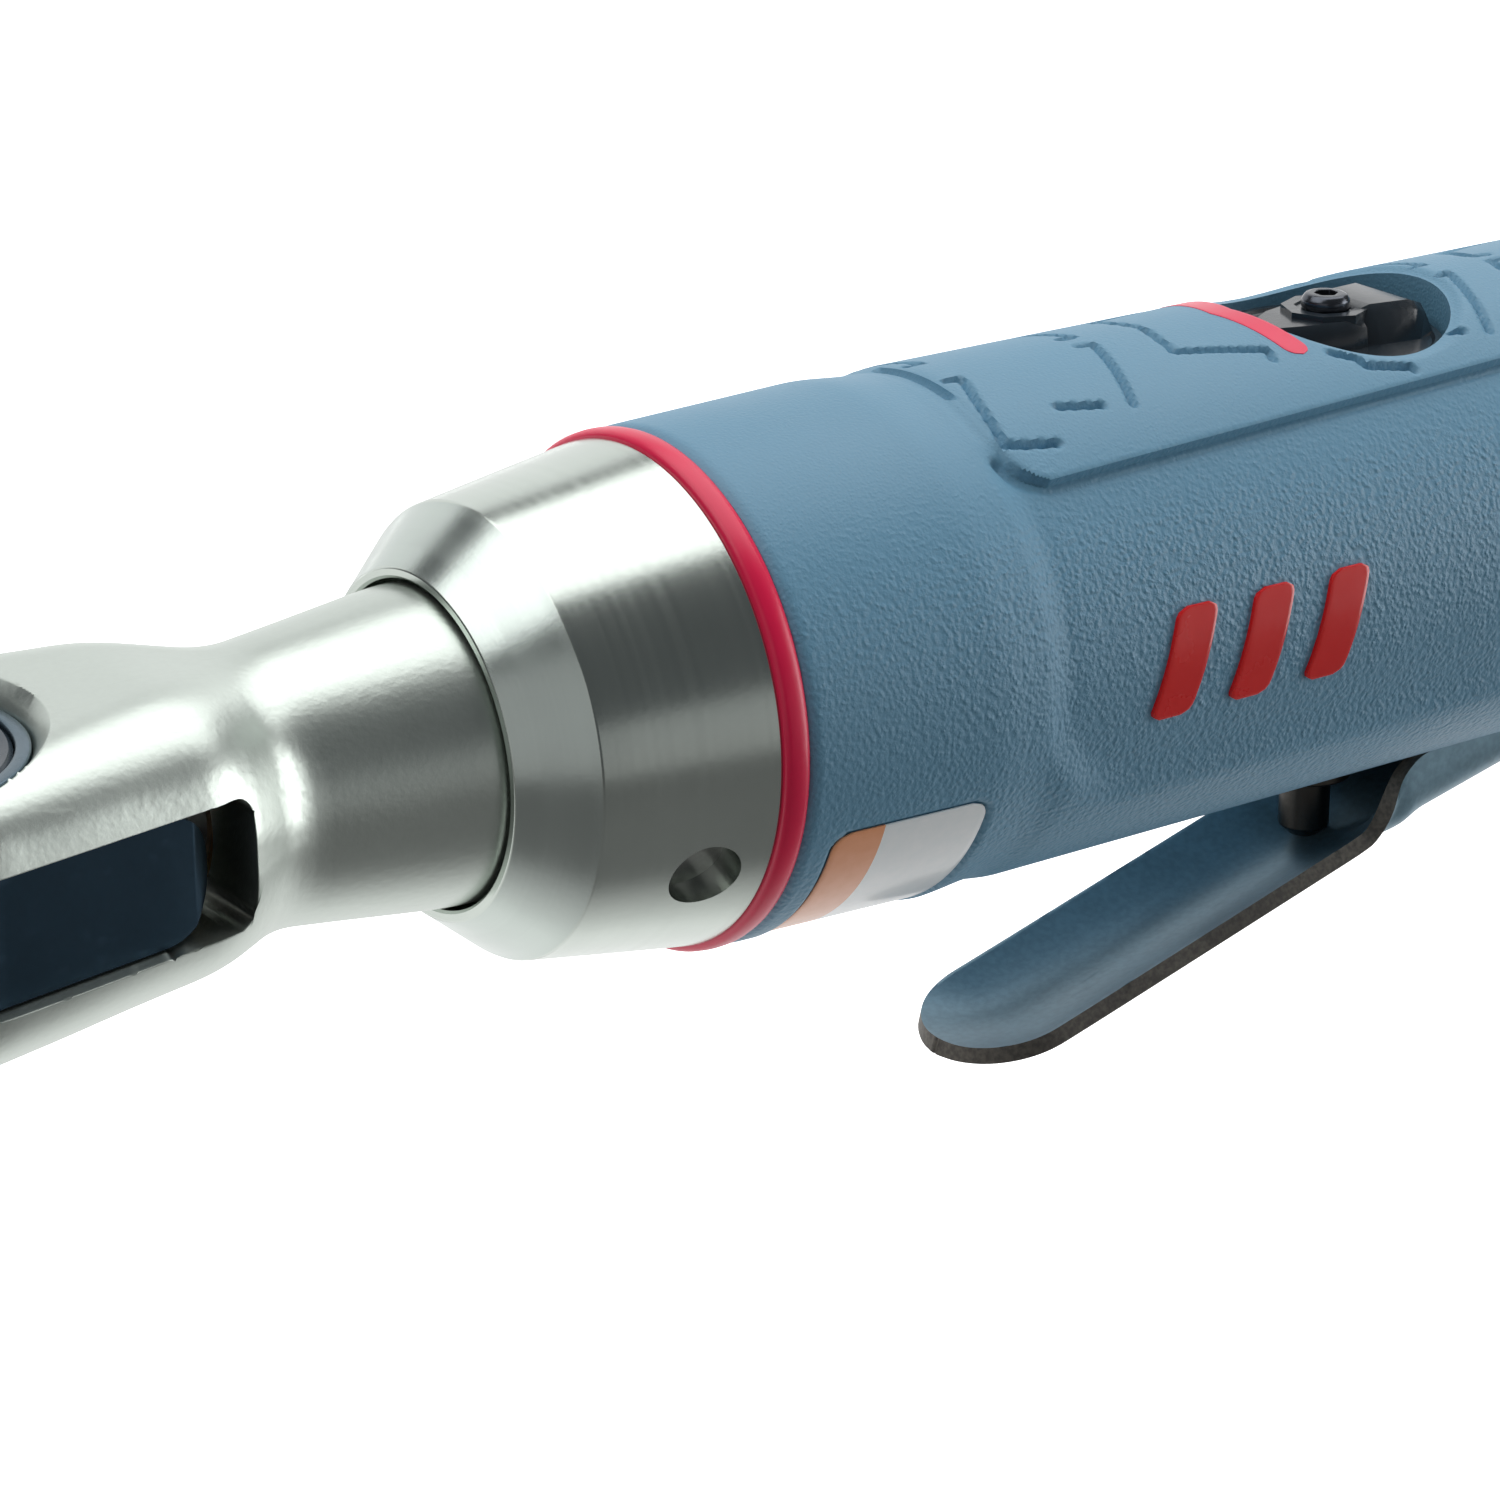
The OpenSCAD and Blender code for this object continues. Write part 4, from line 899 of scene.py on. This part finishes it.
def grip_blank(name, stations):
    """A raised bar on the disc, a grid wrapped round stations (x, half width, top, foot half width)."""
    clear_selection()
    bpy.ops.mesh.primitive_grid_add(x_subdivisions=len(stations) - 1, y_subdivisions=6, size=1)
    piece = named(name)
    for v in piece.data.vertices:
        x, half, top, foot = stations[round((v.co.x + 0.5) * (len(stations) - 1))]
        outline = [(-foot, DISC_TOP), (-half - 0.25, top - 0.8), (-half + 0.5, top), (half - 0.5, top),
                   (half + 0.25, top - 0.8), (foot, DISC_TOP)]
        y, z = outline[round((v.co.y + 0.5) * 6) % 6]
        v.co = Vector((POCKET_X + x, y, z)) * MM
    edit_all(piece)
    bpy.ops.mesh.remove_doubles(threshold=0.001 * MM)
    bpy.ops.mesh.fill_holes(sides=6)
    bpy.ops.mesh.select_all(action="SELECT")
    bpy.ops.mesh.normals_make_consistent(inside=False)
    bpy.ops.object.mode_set(mode="OBJECT")
    return piece


pointer = grip_blank("pointer_blank", [(-10.9, 0.6, 35.0, 0.8), (-9.5, 1.3, 35.4, 1.6),
                                       (-5.0, 3.6, 35.6, 4.1),
                                       (-1.5, 4.4, 35.6, 5.0), (0.8, 4.4, 35.6, 5.0)])
finger = grip_blank("finger_blank", [(1.2, 3.0, 35.9, 4.6), (2.4, 3.6, 36.5, 5.2), (6.8, 4.1, 36.4, 5.9),
                                     (9.0, 3.6, 35.6, 5.4), (10.2, 2.8, 34.4, 4.4)])
boss = turned("boss_blank", [(32.6, 4.4), (36.1, 4.2), (36.1, 3.0), (35.9, 2.8), (35.9, 1.2)], axis="Z",
              at=(SCREW_X, 0, 0), segments=8)
combine(knob, "UNION", pointer, boss, finger)
ease_edges(knob, 0.45, segments=3, angle=24)
settle(knob, knob_black, "regulator", "black_plastic", "regulator_knob", angle=40)

screw = turned("regulator_screw_head", [(26.0, 1.1), (36.0, 1.1), (36.0, 2.3), (36.8, 2.3), (37.3, 1.95),
                                        (37.4, 1.5)],
               axis="Z", at=(SCREW_X, 0, 0), segments=48)
hex_cutter = turned("hex_cutter", [(36.2, 1.15), (38, 1.15)], axis="Z", at=(SCREW_X, 0, 0), segments=6)
cut(screw, hex_cutter)
ease_edges(screw, 0.12, segments=2)
screw_steel = metal("screw_steel", (0.10, 0.11, 0.13), 0.24, spread=0.05, shade=0.3, metallic=0.9)
settle(screw, screw_steel, "regulator", "black_oxide", "regulator_screw")

# ---- Throttle lever ----
# Pressed from 1.6 mm steel sheet and painted satin blue-grey, with bare brownish sheared edges. It is a
# shallow dish for the fingers; behind the step its sides turn up into a channel that the pin crosses.

LEVER_TIP, LEVER_HALF, SHEET, LEVER_COLUMNS = 108.6, 8.0, 1.55, 48
LEVER_ROUND_END = LEVER_TIP + LEVER_HALF
PIN_PLACE = (0.199, 0, -0.003)
RIM_LINE = [(108.6, -41.9), (114.3, -40.5), (122.2, -38.3), (147.2, -31.2), (152.5, -29.7), (154.8, -28.9),
            (156.1, -26.8), (157.4, -23.9), (159.6, -22.0), (175, -18.2), (192, -14.4), (204, -14.4)]
FLOOR_LINE = [(108.6, -43.3), (118, -41.4), (152.5, -32.5), (156, -31.4), (160, -28.2), (204, -18.3)]

clear_selection()
lever_x = np.concatenate([LEVER_TIP + LEVER_HALF * (1 - np.cos(np.linspace(0.02, math.pi / 2, 26))),
                          np.linspace(117.4, 150, 36), np.linspace(150.5, 164, 46),
                          np.linspace(167, 204, 30)])
bpy.ops.mesh.primitive_grid_add(x_subdivisions=len(lever_x) - 1, y_subdivisions=LEVER_COLUMNS, size=1)
lever = named("throttle_lever_sheet")
for v in lever.data.vertices:
    x = float(lever_x[int(round((v.co.x + 0.5) * (len(lever_x) - 1)))])
    t = v.co.y * 2
    half = LEVER_HALF
    if x < LEVER_ROUND_END:
        half = math.sqrt(max(LEVER_HALF ** 2 - (LEVER_ROUND_END - x) ** 2, 0))
    rim, floor = float(rounded_line(RIM_LINE, x, 0.8)), float(rounded_line(FLOOR_LINE, x, 2.0))
    # the dish fades towards the rounded tip, where the sheet is almost flat
    y_dish, z_dish = half * t, floor + (rim - floor) * (half * t / LEVER_HALF) ** 2
    if x < LEVER_ROUND_END:
        out = math.hypot((LEVER_ROUND_END - x) / LEVER_HALF, half * t / LEVER_HALF)
        z_dish = floor + (rim - floor) * min(out, 1) ** 2
    turn = t * math.pi / 2
    y_channel = LEVER_HALF * math.copysign(abs(math.sin(turn)) ** 0.42, t)
    z_channel = rim - (rim - floor) * abs(math.cos(turn)) ** 0.42
    up = float(smooth_step((x - 154.5) / 5.0))
    y, z = y_dish * (1 - up) + y_channel * up, z_dish * (1 - up) + z_channel * up
    v.co = (x * MM, y * MM, z * MM + TOOL_AXIS)
face_outwards(lever)
centre_face = min(lever.data.polygons, key=lambda p: (p.center - Vector((0.13, 0, p.center.z))).length)
if centre_face.normal.z < 0:
    face_outwards(lever, flip=True)
lever_paint = metal("lever_paint", (0.20, 0.33, 0.41), 0.34, spread=0.05, shade=0.25, bump=0.35, metallic=0.5,
                    speck_scale=1500.0, specks=0.6, scratches=0.1)
sheared_edge = metal("sheared_edge", (0.21, 0.19, 0.16), 0.5, spread=0.05, shade=0.45, bump=0.5, metallic=0.3,
                     speck_scale=2200.0, specks=1.0)
lever.data.materials.append(lever_paint)
lever.data.materials.append(sheared_edge)
apply_modifier(lever, "SOLIDIFY", thickness=SHEET * MM, offset=-1, use_rim=True, use_even_offset=True,
               material_offset_rim=1)
clear_selection()
bpy.ops.mesh.primitive_cylinder_add(vertices=48, radius=2.05 * MM, depth=30 * MM, location=PIN_PLACE,
                                    rotation=(math.pi / 2, 0, 0))
pin_hole = named("pin_hole_cutter")
cut(lever, pin_hole)
apply_modifier(lever, "BEVEL", width=0.16 * MM, segments=2, limit_method="ANGLE",
               angle_limit=math.radians(55))
settle(lever, None, "lever", "black_oxide", "throttle_lever", angle=45)

pin = turned("lever_pin_rod", [(-15.5, 1.6), (-15.1, 2.0), (15.1, 2.0), (15.5, 1.6)], axis="Z", segments=48)
pin.data.transform(Matrix.Translation(PIN_PLACE) @ Matrix.Rotation(math.pi / 2, 4, "X"))
settle(pin, ground_steel, "frame", "steel", "lever_pin")

# ---- Throttle plunger and its bushing ----
# A ground steel pin comes down from the valve and rests on the lever. It slides in a steel bushing that is
# pressed into the grip. Pin and bushing are painted dark as the shade that lies between grip and lever.

plunger = mesh_of_node("plunger_pin", "throttle_plunger", edge=0.15, segments=3)
# painted shade: the pin's dark colour stands in for the shadow between grip and lever
pin_painted_shade = metal("pin_painted_shade", (0.10, 0.095, 0.085), 0.35, shade=0.3)
settle(plunger, pin_painted_shade, "plunger", "steel", "throttle_plunger")
bushing = mesh_of_node("plunger_bushing", "valve_bushing", edge=0.3, segments=3)
# painted shade: the bushing is painted dark grey for the same shadow
bushing_painted_shade = metal("bushing_painted_shade", (0.13, 0.12, 0.10), 0.4, shade=0.3)
settle(bushing, bushing_painted_shade, "frame", "steel", "valve_bushing")

# ---- Air inlet and exhaust deflector ----
# The inlet is a plated hex bushing with a 1/4 inch pipe thread; the exhaust leaves through twelve holes in
# a black moulded deflector round it, past a felt silencer.

inlet = turned("inlet_shank", [(205.6, 8.0), (206.0, 8.38), (223.6, 8.38), (223.6, 7.0), (225.6, 7.0),
                               (225.6, 8.38), (227.0, 8.38)], at=(0, 0, AXIS_MM), segments=96)
clear_selection()
bpy.ops.mesh.primitive_cylinder_add(vertices=6, radius=12.1 * MM, depth=15 * MM,
                                    location=(0.2341, 0, TOOL_AXIS), rotation=(0, math.pi / 2, 0))
hexagon = named("hex_blank")
bpy.ops.object.transform_apply(location=True, rotation=True, scale=True)
hexagon.data.transform(Matrix.Translation((0, 0, TOOL_AXIS)) @ Matrix.Rotation(math.radians(30), 4, "X")
                       @ Matrix.Translation((0, 0, -TOOL_AXIS)))
crown = turned("crown_blank", [(226.5, 11.2), (227.6, 12.3), (240.4, 12.3), (241.6, 11.0)],
               at=(0, 0, AXIS_MM), segments=96)
combine(hexagon, "INTERSECT", crown)
combine(inlet, "UNION", hexagon)
bore = [(200, 4.5), (229.6, 4.5), (229.6, 5.35)]
THREAD_PITCH, THREAD_END = 1.41, 240.2
thread_x = 230.2
while thread_x < THREAD_END:
    bore += [(thread_x, 5.35), (thread_x + 0.35, 5.85), (thread_x + 0.6, 5.85), (thread_x + 0.95, 5.35)]
    thread_x += THREAD_PITCH
bore += [(240.4, 5.5), (241.7, 6.6), (243, 6.6)]
cut(inlet, turned("inlet_bore_cutter", bore, at=(0, 0, AXIS_MM), segments=96))
ease_edges(inlet, 0.12, segments=2, angle=35)
settle(inlet, turned_metal("inlet_nickel", (0.55, 0.54, 0.52), 0.28, 7000.0, 0.4), "frame", "steel",
       "inlet_bushing")

deflector = turned("exhaust_ring", [
    (212.0, 22.55), (212.4, 22.6), (221.6, 22.4), (225.9, 20.9), (226.6, 20.2), (226.6, 8.4), (222.5, 8.4),
    (222.5, 20.0), (212.0, 20.0)], at=(0, 0, AXIS_MM), segments=192, closed=True)
HOLES, HOLE_RING_R = 12, 15.4 * MM
for k in range(HOLES):
    a = math.radians(360 / HOLES * k)
    clear_selection()
    bpy.ops.mesh.primitive_cylinder_add(vertices=32, radius=1.9 * MM, depth=8 * MM,
                                        rotation=(0, math.pi / 2, 0),
                                        location=(0.2245, -HOLE_RING_R * math.sin(a),
                                                  TOOL_AXIS + HOLE_RING_R * math.cos(a)))
    drill = named("exhaust_hole_cutter_%d" % k)
    bpy.ops.object.transform_apply(location=True, rotation=True, scale=True)
    cut(deflector, drill)
ease_edges(deflector, 0.2, segments=2, angle=40)
deflector_black = moulded("deflector_black", (0.018, 0.02, 0.024), 0.42, skin_size=1800.0, skin=0.35,
                          shade=0.3)
settle(deflector, deflector_black, "frame", "black_plastic", "exhaust_deflector")

# ---- Inner parts that keep their CAD shape ----
# Gears, bearings, motor, springs, washers, valve parts, screen and seals are turned, hobbed or ground
# pieces. Each keeps its exact shape and takes the finish of its own stock.

bearing_bronze = metal("bearing_bronze", (0.62, 0.40, 0.19), 0.38, shade=0.25, bump=0.5, speck_scale=1200.0)
cast_iron = metal("cast_iron", (0.26, 0.26, 0.265), 0.45, spread=0.1, shade=0.35, bump=0.6, metallic=0.9)
gear_steel = metal("gear_steel", (0.42, 0.41, 0.40), 0.30, shade=0.25)
phenolic = moulded("phenolic_sheet", (0.20, 0.085, 0.035), 0.48, skin_size=3000.0, skin=0.5, shade=0.35)
nitrile = moulded("nitrile_rubber", (0.013, 0.013, 0.014), 0.55, skin_size=2600.0, skin=0.25, shade=0.3)
felt = moulded("pressed_felt", (0.34, 0.31, 0.24), 0.9, skin_size=1200.0, skin=1.0, shade=0.3, spread=0.04)
inner_finishes = {
    bearing_bronze: ("neck_bush", "lower_thrust_washer", "upper_thrust_washer", "crank_bushing",
                     "carrier_washer", "gear_washer", "valve_seat", "inlet_screen"),
    black_oxide: ("retaining_ring", "pawl"),
    gear_steel: ("crankshaft", "planet_gear_1", "planet_gear_2", "planet_gear_3", "ring_gear", "rotor",
                 "threaded_collar", "regulator_sleeve"),
    polished_steel: ("planet_pins", "pawl_pin", "pawl_plunger", "pawl_spring", "socket_ball_spring",
                     "valve_spring",
                     "motor_dowel", "front_bearing_outer", "front_bearing_inner", "front_bearing_balls",
                     "rear_bearing_outer", "rear_bearing_inner", "rear_bearing_balls"),
    cast_iron: ("motor_cylinder", "front_end_plate", "rear_end_plate"),
    phenolic: ("rotor_vanes",),
    nitrile: ("plunger_seal", "regulator_seal", "inlet_seal"),
    felt: ("exhaust_silencer",),
}
for finish, nodes in inner_finishes.items():
    for node in nodes:
        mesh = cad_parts[node].data
        mesh.materials.clear()
        mesh.materials.append(finish)

# ---- Studio ----
# A wide pale floor well below the tool. To the lens it glows evenly white; to the tool and in its reflections
# it is dark, with a painted glow, dim in front and bright from under the tool backwards, that lights the tool
# from below. A long soft box overhead, a tall strip light on the right, and weak fills. The room round them
# is dark.

clear_selection()
bpy.ops.mesh.primitive_plane_add(size=14, location=(0.5, 0.5, -0.26))
floor = named("studio_floor")
floor_paint, tree, shader, where = start_material("studio_floor_paint", Roughness=0.9)
tone = place(tree, "TexNoise", {"Vector": where, "Scale": 1.5, "Detail": 2.0})
paint = two_tone(tree, tone.outputs[0], (0.88, 0.88, 0.88), (0.92, 0.92, 0.92))
seen = place(tree, "LightPath").outputs["Is Camera Ray"]
to_lens = place(tree, "Mix", {"Factor": seen}, data_type="RGBA")
to_lens.inputs["A"].default_value = (0.10, 0.10, 0.10, 1)
tree.links.new(paint.outputs["Result"], to_lens.inputs["B"])
tree.links.new(to_lens.outputs["Result"], shader.inputs["Base Color"])
axes = place(tree, "SeparateXYZ", {"Vector": where})
# painted glow of the floor, dim in front and bright from under the tool backwards; it lights the tool from
# below
floor_glow_ramp = levels(tree, axes.outputs["Y"], 0.06, 0.95, -0.64, -0.44)
glow = place(tree, "Mix", {"Factor": seen}, data_type="RGBA")
tree.links.new(floor_glow_ramp.outputs[0], glow.inputs["A"])
glow.inputs["B"].default_value = (1, 1, 1, 1)
tree.links.new(glow.outputs["Result"], shader.inputs["Emission Color"])
shader.inputs["Emission Strength"].default_value = 1.0
# seen from below, the floor is clear, so that it never hides the tool
under = place(tree, "NewGeometry").outputs["Backfacing"]
above = place(tree, "Math", {0: 1.0, 1: under}, operation="SUBTRACT")
tree.links.new(above.outputs[0], shader.inputs["Alpha"])
floor.data.materials.append(floor_paint)

TARGET = Vector((0.09, 0, TOOL_AXIS))


def soft_light(name, direction, distance, size, radiance, level=False):
    """A rectangular light at a distance along a direction from the tool, its face of a given brightness."""
    data = bpy.data.lights.new(name, "AREA")
    data.shape = "RECTANGLE"
    data.size, data.size_y = size
    data.energy = radiance * math.pi * size[0] * size[1]
    lamp = bpy.data.objects.new(name, data)
    lamp.location = TARGET + Vector(direction).normalized() * distance
    if not level:
        lamp.rotation_euler = (TARGET - lamp.location).to_track_quat("-Z", "Y").to_euler()
    bpy.context.scene.collection.objects.link(lamp)


soft_light("overhead_softbox", (0.15, 0.26, 1.0), 1.05, (2.6, 1.1), 2.0, level=True)
soft_light("right_strip", (0.92, -0.45, -0.02), 0.9, (0.45, 0.9), 3.6)
soft_light("front_fill", (0.50, -0.84, 0.0), 1.3, (1.2, 0.6), 0.3)
soft_light("left_fill", (-0.67, -0.45, 0.15), 1.3, (1.2, 1.2), 0.35)
soft_light("back_wall", (0.35, 0.85, 0.28), 1.6, (2.8, 1.2), 0.95)

world = bpy.data.worlds.new("studio_room")
bpy.context.scene.world = world
world.use_nodes = True
room = world.node_tree
sky = room.nodes["Background"]
shade = two_tone(room, place(room, "LightPath").outputs["Is Camera Ray"], (0.085, 0.09, 0.095),
                 (0.95, 0.95, 0.95))
room.links.new(shade.outputs["Result"], sky.inputs["Color"])

lens = bpy.data.cameras.new("studio_camera")
lens.lens = 108
lens.sensor_width = 36
lens.clip_start = 0.01
camera = bpy.data.objects.new("studio_camera", lens)
camera.location = (-0.1285, -0.3040, 0.1493)
camera.rotation_euler = Vector((0.5396, 0.7615, -0.3590)).to_track_quat("-Z", "Y").to_euler()
bpy.context.scene.collection.objects.link(camera)
bpy.context.scene.camera = camera
bpy.context.scene.view_settings.view_transform = "Standard"

clear_selection()
